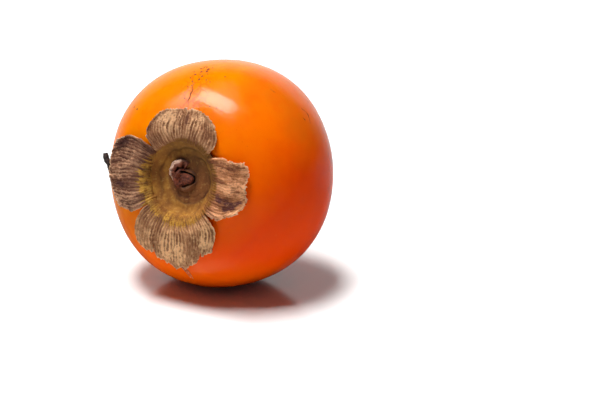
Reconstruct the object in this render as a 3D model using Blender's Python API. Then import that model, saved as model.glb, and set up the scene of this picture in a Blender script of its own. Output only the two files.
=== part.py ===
"""A whole ripe persimmon lying on one of its flattened sides.

Blender 4.5, metres, +Z up. Run with: blender --background --python part.py

The pieces are modelled about the fruit's own axis: local +Z runs from the blossom end to the calyx,
local +Y is the side that faces up once the fruit lies down. An empty, fruit_axis, then lays the whole
fruit on the flat spot that it rests on, so that the centre of that spot is the world origin, and the
calyx looks along -Y and a little upwards.
"""

import bisect
import math

import bmesh
import bpy
from mathutils import Matrix, Vector

MM = 0.001

# The fruit, measured from its widest ring
EQUATOR_RADIUS = 37.0 * MM
CALYX_HEIGHT = 26.8 * MM
BLOSSOM_HEIGHT = 29.6 * MM
CALYX_POWER = 2.39        # superellipse power: 2 is an ellipse, more is boxier
BLOSSOM_POWER = 2.26
SQUARENESS = 0.0115       # how far the four sides are flattened, as a share of the radius
SQUARE_TURN = math.radians(9.9)
OVALNESS = 0.008          # the fruit is a little wider along one diagonal
OVAL_TURN = math.radians(51.5)
CAVITY_DEPTH = 7.0 * MM   # the hollow under the calyx
CAVITY_RADIUS = 12.4 * MM
CAVITY_POWER = 4.2
DIMPLE_DEPTH = 0.9 * MM   # the small dimple at the blossom end
DIMPLE_RADIUS = 2.6 * MM
AXIS_TILT = math.radians(11.3)
REST_CUT = 0.75 * MM      # how much the fruit's own weight has flattened where it lies

# The dried calyx and the stem's stub
GAP = 0.35 * MM           # air between neighbouring pieces
CUP_RADIUS = 13.9 * MM
CUP_THICKNESS = 0.95 * MM
RING_RADIUS = 8.45 * MM   # where the cup's sloping wall meets its floor
RING_STEP = 0.35 * MM
SEPAL_THICKNESS = 0.9 * MM
RING_SAG = 0.9 * MM       # how far the cup's floor dips towards its middle
STUB_CENTRE = (-0.3 * MM, 0.8 * MM)
STUB_RADIUS = 4.0 * MM
STUB_HEIGHT = 3.1 * MM
PITH_RADIUS = 2.0 * MM
PITH_DEPTH = 1.1 * MM
STYLE_RADIUS = 0.8 * MM
STYLE_HEIGHT = 1.9 * MM

# Mesh fineness
FRUIT_SEGMENTS = 72
FRUIT_RINGS = 20          # for each half of the profile
LATHE_SEGMENTS = 48
STUB_SEGMENTS = 24
STYLE_SEGMENTS = 16
SEPAL_ROWS = 9
SEPAL_COLUMNS = 16

# The four dried lobes, seen along the fruit's axis and going round it anticlockwise: name, how far the
# tip curls up in mm, the directions in degrees of its two notches, then its outline in mm: the points
# up its first side, round its tip, and down its second side. The corners belong to the tip.
SEPALS = (
    ("sepal_right", 0.9, (-40.2, 41.2),
     ((15.0, -9.7), (18.9, -8.3)),
     ((22.7, -6.2), (23.6, -3.6), (23.4, 0.8), (23.5, 5.6), (22.4, 8.3)),
     ((18.4, 8.2), (14.2, 9.0))),
    ("sepal_top", 0.3, (43.4, 138.2),
     ((12.2, 12.4), (11.9, 15.4)),
     ((10.5, 18.2), (7.8, 20.7), (3.8, 22.1), (-2.2, 21.8), (-7.2, 20.7), (-9.8, 18.3)),
     ((-11.9, 15.6), (-12.3, 12.6))),
    ("sepal_left", 2.0, (140.4, 220.2),
     ((-14.6, 10.8), (-19.0, 11.3)),
     ((-23.4, 9.4), (-26.1, 6.6), (-26.9, 2.2), (-26.2, -2.4), (-24.3, -6.8), (-20.4, -10.8)),
     ((-17.6, -11.6), (-14.0, -11.4))),
    ("sepal_bottom", 0.3, (222.4, 317.6),
     ((-13.1, -12.7), (-15.1, -17.2)),
     ((-14.9, -21.3), (-12.3, -23.6), (-7.4, -25.6), (-3.4, -27.7), (1.0, -28.4), (5.2, -26.2),
      (8.4, -23.4), (12.5, -20.6)),
     ((14.2, -15.8), (13.4, -11.8))),
)

MATERIALS = {
    "fruit_skin": ((0.90, 0.20, 0.004), 0.25),
    "calyx_cup": ((0.24, 0.13, 0.025), 0.7),
    "sepal": ((0.33, 0.19, 0.10), 0.8),
    "stem_bark": ((0.13, 0.06, 0.03), 0.8),
    "style": ((0.03, 0.015, 0.01), 0.7),
}


def side_factor(angle):
    """How far the fruit's wall stands from its axis in this direction, around 1."""
    square = SQUARENESS * math.cos(4 * (angle - SQUARE_TURN))
    oval = OVALNESS * math.cos(2 * (angle - OVAL_TURN))
    return 1 - square + oval


def calyx_end_height(x, y):
    """Height of the fruit's surface above its widest ring, at this place on the calyx end."""
    radius = math.hypot(x, y)
    factor = side_factor(math.atan2(y, x))
    round_radius = radius
    for _ in range(3):
        bulge = min(1.0, round_radius / EQUATOR_RADIUS) ** CALYX_POWER
        round_radius = radius / (1 + (factor - 1) * bulge)
    share = min(1.0, round_radius / EQUATOR_RADIUS)
    dome = CALYX_HEIGHT * (1 - share ** CALYX_POWER) ** (1 / CALYX_POWER)
    return dome - CAVITY_DEPTH * math.exp(-((round_radius / CAVITY_RADIUS) ** CAVITY_POWER))


def fruit_profile():
    """Points (distance from the axis, height) from the calyx end's middle to the blossom end's tip."""
    points = []
    for i in range(2 * FRUIT_RINGS + 1):
        t = math.pi * i / (2 * FRUIT_RINGS)
        upper = i <= FRUIT_RINGS
        power = CALYX_POWER if upper else BLOSSOM_POWER
        height = CALYX_HEIGHT if upper else -BLOSSOM_HEIGHT
        radius = EQUATOR_RADIUS * max(0.0, math.sin(t)) ** (2 / power)
        along = height * abs(math.cos(t)) ** (2 / power)
        if upper:
            along -= CAVITY_DEPTH * math.exp(-((radius / CAVITY_RADIUS) ** CAVITY_POWER))
        else:
            along += DIMPLE_DEPTH * math.exp(-((radius / DIMPLE_RADIUS) ** 2))
        points.append((0.0 if i in (0, 2 * FRUIT_RINGS) else radius, along))
    return points


def lathe(profile, segments):
    """A closed bmesh turned about local Z from an open profile that starts and ends on the axis."""
    bm = bmesh.new()
    verts = [bm.verts.new((radius, 0, along)) for radius, along in profile]
    edges = [bm.edges.new(pair) for pair in zip(verts, verts[1:])]
    bmesh.ops.spin(
        bm, geom=verts + edges, cent=(0, 0, 0), axis=(0, 0, 1),
        angle=2 * math.pi, steps=segments, use_merge=True,
    )
    bmesh.ops.remove_doubles(bm, verts=bm.verts, dist=0.001 * MM)
    bmesh.ops.recalc_face_normals(bm, faces=bm.faces)
    return bm


def material(name):
    """The Principled material of this name, made on first use."""
    found = bpy.data.materials.get(name)
    if found:
        return found
    colour, roughness = MATERIALS[name]
    made = bpy.data.materials.new(name)
    made.use_nodes = True
    shader = made.node_tree.nodes["Principled BSDF"]
    shader.inputs["Base Color"].default_value = (*colour, 1)
    shader.inputs["Roughness"].default_value = roughness
    shader.inputs["Metallic"].default_value = 0.0
    made.diffuse_color = (*colour, 1)
    return made


def piece(name, bm, finish, parent):
    """Turns a bmesh into a smooth named object on the fruit's axis."""
    mesh = bpy.data.meshes.new(name)
    bm.to_mesh(mesh)
    bm.free()
    mesh.shade_smooth()
    mesh.set_sharp_from_angle(angle=math.radians(40))
    mesh.materials.append(material(finish))
    obj = bpy.data.objects.new(name, mesh)
    bpy.context.scene.collection.objects.link(obj)
    obj.parent = parent
    return obj


def square_off(bm):
    """Flattens the turned fruit's four sides a little, most at its widest ring."""
    for vert in bm.verts:
        radius = math.hypot(vert.co.x, vert.co.y)
        power = CALYX_POWER if vert.co.z > 0 else BLOSSOM_POWER
        bulge = (radius / EQUATOR_RADIUS) ** power
        factor = 1 + (side_factor(math.atan2(vert.co.y, vert.co.x)) - 1) * bulge
        vert.co.x *= factor
        vert.co.y *= factor


def cut_rest_spot(bm, down):
    """Slices the flat spot off the fruit's lowest side and returns the spot's centre."""
    lowest = max(vert.co.dot(down) for vert in bm.verts)
    on_plane = down * (lowest - REST_CUT)
    cut = bmesh.ops.bisect_plane(
        bm, geom=bm.verts[:] + bm.edges[:] + bm.faces[:], dist=0.0001 * MM,
        plane_co=on_plane, plane_no=down, clear_outer=True,
    )
    rim = [item for item in cut["geom_cut"] if isinstance(item, bmesh.types.BMEdge)]
    filled = bmesh.ops.contextual_create(bm, geom=rim)["faces"]
    bmesh.ops.recalc_face_normals(bm, faces=bm.faces)
    return filled[0].calc_center_median_weighted()


def fruit_body(axis):
    """The berry itself, flesh and skin as one solid, laid so that its flat spot is at the origin."""
    bm = lathe(fruit_profile(), FRUIT_SEGMENTS)
    square_off(bm)
    lay_down = Matrix.Rotation(math.pi / 2 - AXIS_TILT, 3, "X")
    spot = cut_rest_spot(bm, lay_down.inverted() @ Vector((0, 0, -1)))
    axis.rotation_euler = lay_down.to_euler()
    axis.location = -(lay_down @ spot)
    return piece("fruit_body", bm, "fruit_skin", axis)


def cup_top(radius):
    """Height of the calyx cup's upper face at this distance from the axis."""
    rim = calyx_end_height(CUP_RADIUS, 0) + GAP + CUP_THICKNESS
    floor = calyx_end_height(RING_RADIUS, 0) + GAP + CUP_THICKNESS - RING_STEP
    if radius >= RING_RADIUS:
        share = (radius - RING_RADIUS) / (CUP_RADIUS - RING_RADIUS)
        smooth = share * share * (3 - 2 * share)
        return floor + RING_STEP + (rim - floor - RING_STEP) * smooth
    return floor - RING_SAG * (1 - (radius / RING_RADIUS) ** 2)


def calyx_cup(axis):
    """The sunken middle of the calyx, where its four lobes join: a thin leathery bowl."""
    steps = 14
    radii = [CUP_RADIUS * i / steps for i in range(steps + 1)]
    lips = [RING_RADIUS - 0.25 * MM, RING_RADIUS + 0.05 * MM]
    upper = [(r, cup_top(r)) for r in sorted(radii + lips)]
    under = [(r, calyx_end_height(r, 0) + GAP) for r in reversed(radii)]
    under = [(r, min(low, cup_top(r) - 0.5 * MM)) for r, low in under]
    return piece("calyx_cup", lathe(upper + under, LATHE_SEGMENTS), "calyx_cup", axis)


def smooth_curve(points, count):
    """Evenly spaced places, one more than count, along a smooth curve through these points."""
    ends = [points[0] * 2 - points[1]] + list(points) + [points[-1] * 2 - points[-2]]
    fine = []
    for before, start, end, after in zip(ends, ends[1:], ends[2:], ends[3:]):
        for step in range(16):
            t = step / 16
            bend = 2 * start + (end - before) * t
            bend += (2 * before - 5 * start + 4 * end - after) * t ** 2
            bend += (3 * start - before - 3 * end + after) * t ** 3
            fine.append(bend / 2)
    fine.append(points[-1])
    along = [0.0]
    for here, there in zip(fine, fine[1:]):
        along.append(along[-1] + (there - here).length)
    places = []
    for i in range(count + 1):
        goal = along[-1] * i / count
        k = min(len(fine) - 2, bisect.bisect_right(along, goal) - 1)
        places.append(fine[k].lerp(fine[k + 1], (goal - along[k]) / (along[k + 1] - along[k])))
    return places


def blend_patch(base, tip, first, second):
    """The grid of places spanned by four edges: each row runs from the first side to the second."""
    rows = []
    for i, (side, other) in enumerate(zip(first, second)):
        v = i / (len(first) - 1)
        row = []
        for j, (low, high) in enumerate(zip(base, tip)):
            u = j / (len(base) - 1)
            corners = (base[0] * (1 - u) + base[-1] * u) * (1 - v) + (tip[0] * (1 - u) + tip[-1] * u) * v
            row.append(low * (1 - v) + high * v + side * (1 - u) + other * u - corners)
        rows.append(row)
    return rows


def sepal(axis, name, curl, notches, first_side, tip, second_side):
    """One dried lobe of the calyx, a thin blade that leans on the fruit's shoulder."""
    start = CUP_RADIUS + GAP
    low, high = (math.radians(angle) for angle in notches)
    base = []
    for j in range(SEPAL_COLUMNS + 1):
        angle = low + (high - low) * j / SEPAL_COLUMNS
        base.append(Vector((start * math.cos(angle), start * math.sin(angle))))
    first_side, tip, second_side = ([Vector(p) * MM for p in run] for run in (first_side, tip, second_side))
    first = smooth_curve([base[0]] + first_side + [tip[0]], SEPAL_ROWS)
    second = smooth_curve([base[-1]] + second_side[::-1] + [tip[-1]], SEPAL_ROWS)
    rows = blend_patch(base, smooth_curve(tip, SEPAL_COLUMNS), first, second)
    bm = bmesh.new()
    grid = []
    for i, row in enumerate(rows):
        v = i / SEPAL_ROWS
        lift = GAP + SEPAL_THICKNESS + curl * MM * v ** 2
        grid.append([bm.verts.new((x, y, calyx_end_height(x, y) + lift)) for x, y in row])
    for inner, outer in zip(grid, grid[1:]):
        for j in range(SEPAL_COLUMNS):
            bm.faces.new((inner[j], outer[j], outer[j + 1], inner[j + 1]))
    blade = piece(name, bm, "sepal", axis)
    solid = blade.modifiers.new("thickness", "SOLIDIFY")
    solid.thickness = SEPAL_THICKNESS
    solid.offset = -1.0
    return blade


def stem_stub(axis):
    """What is left of the stem: a short stub by the middle of the cup, hollowed where it snapped."""
    foot = cup_top(math.hypot(*STUB_CENTRE) + STUB_RADIUS) + GAP
    top = foot + STUB_HEIGHT
    profile = [
        (0.0, foot),
        (STUB_RADIUS, foot),
        (STUB_RADIUS * 1.02, foot + 0.35 * STUB_HEIGHT),
        (STUB_RADIUS * 0.96, foot + 0.8 * STUB_HEIGHT),
        (STUB_RADIUS * 0.86, top - 0.1 * MM),
        (STUB_RADIUS * 0.72, top),
        (PITH_RADIUS, top - 0.35 * MM),
        (PITH_RADIUS * 0.55, top - PITH_DEPTH),
        (0.0, top - PITH_DEPTH * 0.9),
    ]
    bm = lathe(profile[::-1], STUB_SEGMENTS)
    bmesh.ops.translate(bm, vec=(*STUB_CENTRE, 0), verts=bm.verts)
    return piece("stem_stub", bm, "stem_bark", axis)


def style_tip(axis):
    """The small dark remnant of the flower's style, in the dimple at the blossom end."""
    foot = -BLOSSOM_HEIGHT + DIMPLE_DEPTH - GAP
    tip = foot - STYLE_HEIGHT
    profile = [
        (0.0, foot - 0.1 * MM),
        (STYLE_RADIUS, foot - 0.25 * MM),
        (STYLE_RADIUS * 0.75, foot - 0.45 * STYLE_HEIGHT),
        (STYLE_RADIUS * 0.5, foot - 0.85 * STYLE_HEIGHT),
        (0.0, tip),
    ]
    return piece("style_tip", lathe(profile, STYLE_SEGMENTS), "style", axis)


def main():
    for obj in list(bpy.data.objects):
        bpy.data.objects.remove(obj)
    axis = bpy.data.objects.new("fruit_axis", None)
    bpy.context.scene.collection.objects.link(axis)
    fruit_body(axis)
    calyx_cup(axis)
    for row in SEPALS:
        sepal(axis, *row)
    stem_stub(axis)
    style_tip(axis)


main()
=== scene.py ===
"""A ripe persimmon lying on its flat spot: the looks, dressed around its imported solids.

Every piece is modelled about the fruit's own axis, in metres: x runs across the fruit, y up the side
that faces up once it lies down, and z from the blossom end to the calyx. FruitForm.place then lays a
piece down where the solids lie. Angles go round the axis from +x towards +y.
"""

from __future__ import annotations

import logging
import math
from collections.abc import Mapping, Sequence
from dataclasses import dataclass, fields
from enum import Enum

import bpy
import numpy as np
from mathutils import Matrix, Vector
from mathutils.bvhtree import BVHTree

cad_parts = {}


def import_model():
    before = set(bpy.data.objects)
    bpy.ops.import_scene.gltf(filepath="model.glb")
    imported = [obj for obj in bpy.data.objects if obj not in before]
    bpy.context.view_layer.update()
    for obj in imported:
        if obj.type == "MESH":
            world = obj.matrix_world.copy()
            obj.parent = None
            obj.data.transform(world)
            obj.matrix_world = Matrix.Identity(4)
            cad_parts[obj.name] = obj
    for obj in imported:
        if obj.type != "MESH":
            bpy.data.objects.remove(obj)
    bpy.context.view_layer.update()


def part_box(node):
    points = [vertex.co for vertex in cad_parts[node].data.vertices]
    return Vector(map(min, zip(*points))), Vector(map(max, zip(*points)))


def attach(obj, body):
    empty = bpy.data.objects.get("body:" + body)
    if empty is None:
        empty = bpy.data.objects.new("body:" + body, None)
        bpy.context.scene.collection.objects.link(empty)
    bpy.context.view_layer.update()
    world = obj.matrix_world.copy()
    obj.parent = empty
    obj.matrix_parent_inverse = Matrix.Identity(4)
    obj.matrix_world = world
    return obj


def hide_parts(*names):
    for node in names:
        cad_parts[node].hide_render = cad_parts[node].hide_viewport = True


LOG = logging.getLogger("persimmon")
MM = 0.001
BODY = "root"
SENSOR_WIDTH = 36.0

Pair = tuple[float, float]
Point = tuple[float, float, float]
Outline = tuple[Pair, ...]
Speck = tuple[float, float, float, float]  # place, then radius
Cleft = tuple[float, float, float]  # middle across the edge, depth, width
Stain = tuple[float, float, float, float, float]  # middle across and along, width, height, darkness

PLATE_CENTRE: Pair = (1.6 * MM, 0.2 * MM)
BARK_CENTRE: Pair = (0.1 * MM, 1.4 * MM)


def tone(red: int, green: int, blue: int) -> tuple[float, float, float, float]:
    """Turns a display colour of 0 to 255 a channel into the linear colour a shader takes.

    Args:
        red: The red channel.
        green: The green channel.
        blue: The blue channel.

    Returns:
        The linear colour, with an alpha of 1.
    """
    shares = (channel / 255 for channel in (red, green, blue))
    linear = [s / 12.92 if s <= 0.04045 else ((s + 0.055) / 1.055) ** 2.4 for s in shares]
    return (*linear, 1.0)


@dataclass(frozen=True)
class Wire:
    """A node's socket that can stand in a formula: arithmetic on it adds Math nodes."""

    tree: Tree
    socket: bpy.types.NodeSocket

    def __add__(self, other: Feed) -> Wire:
        """Adds another socket or number."""
        return self.tree.math("ADD", self, other)

    __radd__ = __add__

    def __sub__(self, other: Feed) -> Wire:
        """Takes another socket or number away."""
        return self.tree.math("SUBTRACT", self, other)

    def __rsub__(self, other: Feed) -> Wire:
        """Takes this socket away from a number."""
        return self.tree.math("SUBTRACT", other, self)

    def __mul__(self, other: Feed) -> Wire:
        """Multiplies by another socket or number."""
        return self.tree.math("MULTIPLY", self, other)

    __rmul__ = __mul__

    def __truediv__(self, other: Feed) -> Wire:
        """Divides by another socket or number."""
        return self.tree.math("DIVIDE", self, other)

    def __rtruediv__(self, other: Feed) -> Wire:
        """Divides a number by this socket."""
        return self.tree.math("DIVIDE", other, self)

    def __pow__(self, other: Feed) -> Wire:
        """Raises to a power."""
        return self.tree.math("POWER", self, other)


Feed = Wire | float | int | tuple
Feeds = Mapping[str | int, Feed]


class Tree:
    """Writes one node tree, for a material, the world or a geometry modifier."""

    def __init__(self, tree: bpy.types.NodeTree) -> None:
        """Takes the tree to write and empties it."""
        self.tree = tree
        self.tree.nodes.clear()

    @classmethod
    def geometry(cls, name: str, sizes: Mapping[str, float]) -> tuple[Tree, dict[str, Wire]]:
        """Starts a geometry tree with a geometry input, a finish input and one input for each size.

        Args:
            name: The tree's name.
            sizes: The name and default of each number the tree takes.

        Returns:
            The tree, and its inputs by name, with "Geometry" and "Finish" among them.
        """
        group = bpy.data.node_groups.new(name, "GeometryNodeTree")
        group.interface.new_socket("Geometry", in_out="OUTPUT", socket_type="NodeSocketGeometry")
        group.interface.new_socket("Geometry", in_out="INPUT", socket_type="NodeSocketGeometry")
        group.interface.new_socket("Finish", in_out="INPUT", socket_type="NodeSocketMaterial")
        for label, value in sizes.items():
            socket = group.interface.new_socket(label, in_out="INPUT", socket_type="NodeSocketFloat")
            socket.default_value = value
        made = cls(group)
        entry = made.node("NodeGroupInput")
        labels = ["Geometry", "Finish", *sizes]
        return made, {label: Wire(made, entry.outputs[label]) for label in labels}

    def node(self, kind: str, feeds: Feeds | None = None, **settings: object) -> bpy.types.Node:
        """Adds a node.

        Args:
            kind: The node's type.
            feeds: What each input takes, by the input's name or number.
            **settings: The node's own settings.

        Returns:
            The node.
        """
        made = self.tree.nodes.new(kind)
        for key, value in settings.items():
            setattr(made, key, value)
        self.feed(made, feeds or {})
        return made

    def feed(self, made: bpy.types.Node, feeds: Feeds) -> None:
        """Links or sets a node's inputs.

        Args:
            made: The node.
            feeds: What each input takes, by the input's name or number.
        """
        for key, value in feeds.items():
            if isinstance(value, Wire):
                self.tree.links.new(value.socket, made.inputs[key])
            else:
                made.inputs[key].default_value = value

    def wire(self, kind: str, feeds: Feeds | None = None, out: str | int = 0, **settings: object) -> Wire:
        """Adds a node and returns one of its outputs."""
        return Wire(self, self.node(kind, feeds, **settings).outputs[out])

    def math(self, operation: str, *values: Feed) -> Wire:
        """Adds a Math node on these values."""
        return self.wire("ShaderNodeMath", dict(enumerate(values)), operation=operation)

    def cos(self, angle: Feed) -> Wire:
        """The cosine of an angle."""
        return self.math("COSINE", angle)

    def sin(self, angle: Feed) -> Wire:
        """The sine of an angle."""
        return self.math("SINE", angle)

    def size_of(self, value: Feed) -> Wire:
        """A number without its sign."""
        return self.math("ABSOLUTE", value)

    def above(self, value: Feed, level: float = 0.0) -> Wire:
        """1 where a value is above a level, and 0 elsewhere."""
        return self.math("GREATER_THAN", value, level)

    def length(self, x: Wire, y: Wire) -> Wire:
        """How far a place lies from the axis."""
        return self.math("SQRT", x * x + y * y)

    def reach(self, place: Wire, centre: Pair = (0.0, 0.0)) -> Wire:
        """How far a place lies from a line along the axis, in millimetres."""
        x, y, _ = self.separate(place)
        return self.length((x - centre[0]) / MM, (y - centre[1]) / MM)

    def around(self, x: Wire, y: Wire) -> Wire:
        """In which direction a place lies from the axis."""
        return self.math("ARCTAN2", y, x)

    def bell(self, offset: Wire) -> Wire:
        """A bell of height 1 about an offset of 0."""
        return self.math("EXPONENT", 0.0 - offset ** 2.0)

    def attribute(self, name: str) -> Wire:
        """Reads a value stored on the mesh, for a finish."""
        return self.wire("ShaderNodeAttribute", out="Fac", attribute_name=name)

    def stored(self, name: str, kind: str = "FLOAT") -> Wire:
        """Reads a value stored on each point, for a form."""
        return self.wire("GeometryNodeInputNamedAttribute", {"Name": name}, data_type=kind)

    def mark(self, shape: Wire, name: str, value: Wire) -> Wire:
        """Stores a value on each point, for a finish to read."""
        feeds = {"Geometry": shape, "Name": name, "Value": value}
        return self.wire("GeometryNodeStoreNamedAttribute", feeds, data_type="FLOAT", domain="POINT")

    def spot(self) -> Wire:
        """The place of each point."""
        return self.wire("GeometryNodeInputPosition")

    def ball(self, segments: int, rings: int) -> Wire:
        """A sphere with a radius of 1."""
        return self.wire("GeometryNodeMeshUVSphere", {"Segments": segments, "Rings": rings, "Radius": 1.0})

    def flattened(self, z: Wire) -> Wire:
        """How far out a place of a sphere lies once the sphere is pressed flat, from 0 to 1."""
        share = 1.0 - self.size_of(self.math("ARCSINE", z)) / (math.pi / 2)
        return self.math("MINIMUM", share, 1.0)

    def formed(self, shape: Wire, place: Wire) -> Wire:
        """Moves each point to a place."""
        return self.wire("GeometryNodeSetPosition", {"Geometry": shape, "Position": place})

    def raised(self, shape: Wire, height: Wire) -> Wire:
        """Moves each point out along its normal."""
        offset = self.scaled(self.wire("GeometryNodeInputNormal"), height)
        return self.wire("GeometryNodeSetPosition", {"Geometry": shape, "Offset": offset})

    def vector(self, operation: str, *values: Feed, out: str = "Vector") -> Wire:
        """Adds a Vector Math node on these values."""
        return self.wire("ShaderNodeVectorMath", dict(enumerate(values)), out, operation=operation)

    def scaled(self, vector: Feed, factor: Feed) -> Wire:
        """Multiplies a vector by a number."""
        return self.wire("ShaderNodeVectorMath", {0: vector, "Scale": factor}, operation="SCALE")

    def combine(self, x: Feed, y: Feed, z: Feed = 0.0) -> Wire:
        """Makes a vector from three numbers."""
        return self.wire("ShaderNodeCombineXYZ", {0: x, 1: y, 2: z})

    def separate(self, vector: Feed) -> tuple[Wire, Wire, Wire]:
        """Splits a vector into its three numbers."""
        made = self.node("ShaderNodeSeparateXYZ", {0: vector})
        return tuple(Wire(self, output) for output in made.outputs)

    def span(self, value: Feed, low: Feed, high: Feed, to_low: Feed = 0.0, to_high: Feed = 1.0) -> Wire:
        """Carries a value from one range to another along a smooth step, held at both ends."""
        feeds = {0: value, 1: low, 2: high, 3: to_low, 4: to_high}
        return self.wire("ShaderNodeMapRange", feeds, interpolation_type="SMOOTHSTEP")

    def noise(self, place: Feed, scale: float, detail: float = 2.0, roughness: float = 0.5) -> Wire:
        """Samples a noise of about 0 to 1 at a place."""
        feeds = {"Vector": place, "Scale": scale, "Detail": detail, "Roughness": roughness}
        return self.wire("ShaderNodeTexNoise", feeds, 0)

    def drift(self, place: Feed, scale: float, detail: float = 2.0, roughness: float = 0.5) -> Wire:
        """Samples a noise of about -0.5 to 0.5 at a place."""
        return self.noise(place, scale, detail, roughness) - 0.5

    def bump(self, height: Wire, distance: float) -> Wire:
        """Turns a height pattern into a shading normal."""
        return self.wire("ShaderNodeBump", {"Height": height, "Distance": distance, "Strength": 1.0})

    def weave(self, x: Feed, y: Feed, z: Feed, detail: float, roughness: float = 0.5) -> Wire:
        """Samples a noise of about 0 to 1 at coordinates that are scaled already."""
        return self.noise(self.combine(x, y, z), 1.0, detail, roughness)

    def ramp(self, value: Feed, stops: Sequence[tuple[float, tuple]]) -> Wire:
        """Turns a value of 0 to 1 into a colour.

        Args:
            value: The value.
            stops: Each stop's place and colour, in order.

        Returns:
            The colour.
        """
        made = self.node("ShaderNodeValToRGB", {0: value})
        band = made.color_ramp
        while len(band.elements) < len(stops):
            band.elements.new(0.5)
        for element, (place, colour) in zip(band.elements, stops):
            element.position = place
            element.color = colour
        return Wire(self, made.outputs[0])

    def mix(self, factor: Feed, first: Feed, second: Feed) -> Wire:
        """Mixes two colours."""
        return self.wire("ShaderNodeMix", {0: factor, 6: first, 7: second}, 2, data_type="RGBA")

    def layers(self, colour: Feed, *layers: tuple[Feed, Feed]) -> Wire:
        """Lays colours over a first one, in order, each in its own share."""
        for share, tint in layers:
            colour = self.mix(share, colour, tint)
        return colour

    def close(self, shape: Wire, finish: Wire) -> None:
        """Ends a geometry tree: real geometry, smooth, with its finish.

        Args:
            shape: The geometry.
            finish: The input that carries the material.
        """
        smooth = self.wire("GeometryNodeSetShadeSmooth", {"Geometry": shape})
        real = self.wire("GeometryNodeRealizeInstances", {"Geometry": smooth})
        dressed = self.wire("GeometryNodeSetMaterial", {"Geometry": real, "Material": finish})
        self.node("NodeGroupOutput", {"Geometry": dressed})


def link(name: str, data: bpy.types.ID) -> bpy.types.Object:
    """Puts a mesh, a light or a camera in the scene as an object."""
    made = bpy.data.objects.new(name, data)
    bpy.context.scene.collection.objects.link(made)
    return made


def store(mesh: bpy.types.Mesh, name: str, values: np.ndarray, kind: str = "FLOAT") -> None:
    """Stores a number or a vector on each of a mesh's points."""
    field = "vector" if kind == "FLOAT_VECTOR" else "value"
    mesh.attributes.new(name, kind, "POINT").data.foreach_set(field, values.ravel())


def labelled(owner: object, *names: str) -> dict[str, float]:
    """Lists some of an owner's sizes as tree inputs, such as "Fold Depth" for fold_depth."""
    return {name.replace("_", " ").title(): getattr(owner, name) for name in names}


def grow(name: str, tree: Tree, sizes: Mapping[str, float], finish: bpy.types.Material,
         seed: bpy.types.Mesh | None = None) -> bpy.types.Mesh:
    """Runs a geometry tree and keeps the result as a plain mesh.

    Args:
        name: The mesh's name.
        tree: The tree.
        sizes: What each of its inputs takes, by name.
        finish: The mesh's material.
        seed: The mesh that the tree starts from, if it takes one.

    Returns:
        The mesh.
    """
    holder = link(name, seed or bpy.data.meshes.new(name))
    modifier = holder.modifiers.new("grow", "NODES")
    modifier.node_group = tree.tree
    values = {**sizes, "Finish": finish}
    for item in tree.tree.interface.items_tree:
        if item.in_out == "INPUT" and item.name in values:
            modifier[item.identifier] = values[item.name]
    return bake(holder)


def bake(holder: bpy.types.Object) -> bpy.types.Mesh:
    """Turns an object with modifiers into its finished mesh and removes the object.

    Args:
        holder: The object.

    Returns:
        The mesh as its modifiers leave it, under the object's name.
    """
    name, raw = holder.name, holder.data
    depsgraph = bpy.context.evaluated_depsgraph_get()
    evaluated = holder.evaluated_get(depsgraph)
    mesh = bpy.data.meshes.new_from_object(evaluated, preserve_all_data_layers=True, depsgraph=depsgraph)
    bpy.data.objects.remove(holder)
    bpy.data.meshes.remove(raw)
    mesh.name = name
    return mesh


def sheet_mesh(name: str, places: np.ndarray) -> bpy.types.Mesh:
    """Makes an open sheet of quads with a UV map from a grid of places.

    Args:
        name: The mesh's name.
        places: The grid, rows by columns by three. Seen from outside, columns run to the right.

    Returns:
        The mesh. Its UV map "blade" runs from 0 to 1 across the columns and up the rows.
    """
    rows, columns = places.shape[:2]
    index = np.arange(rows * columns).reshape(rows, columns)
    corners = (index[:-1, :-1], index[:-1, 1:], index[1:, 1:], index[1:, :-1])
    faces = np.stack(corners, axis=-1).reshape(-1, 4)
    mesh = bpy.data.meshes.new(name)
    mesh.from_pydata(places.reshape(-1, 3).tolist(), [], faces.tolist())
    across, along = np.meshgrid(np.linspace(0, 1, columns), np.linspace(0, 1, rows))
    flat = np.stack([across.ravel(), along.ravel()], axis=-1)
    layer = mesh.uv_layers.new(name="blade")
    layer.data.foreach_set("uv", flat[faces.ravel()].ravel())
    return mesh


def thicken(mesh: bpy.types.Mesh, thickness: float) -> bpy.types.Mesh:
    """Gives an open sheet a wall below it and closes its edges.

    Args:
        mesh: The sheet.
        thickness: The wall.

    Returns:
        The closed mesh.
    """
    holder = link(mesh.name, mesh)
    wall = holder.modifiers.new("wall", "SOLIDIFY")
    wall.thickness = thickness
    wall.offset = -1.0
    wall.use_even_offset = False
    return bake(holder)


def smooth_curve(points: np.ndarray, count: int) -> np.ndarray:
    """Finds evenly spaced places along a smooth curve through some points.

    Args:
        points: The points, one row each.
        count: How many steps to take.

    Returns:
        The places, one more than count.
    """
    ends = np.vstack([2 * points[0] - points[1], points, 2 * points[-1] - points[-2]])
    t = np.linspace(0, 1, 24, endpoint=False)[:, None]
    runs = []
    for before, start, end, after in zip(ends, ends[1:], ends[2:], ends[3:]):
        bend = 2 * start + (end - before) * t
        bend = bend + (2 * before - 5 * start + 4 * end - after) * t**2
        bend = bend + (3 * start - before - 3 * end + after) * t**3
        runs.append(bend / 2)
    fine = np.vstack([*runs, points[-1:]])
    along = np.concatenate([[0], np.cumsum(np.linalg.norm(np.diff(fine, axis=0), axis=1))])
    goals = np.linspace(0, along[-1], count + 1)
    return np.stack([np.interp(goals, along, fine[:, axis]) for axis in range(fine.shape[1])], axis=-1)


def spread(girths: Sequence[float], count: int) -> np.ndarray:
    """Spreads a thread's thickness evenly along it.

    Args:
        girths: Its radius at even distances, in millimetres.
        count: How many steps the thread has.

    Returns:
        The radius at each end of each step, in metres.
    """
    return np.interp(np.linspace(0, 1, count + 1), np.linspace(0, 1, len(girths)), girths) * MM


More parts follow.
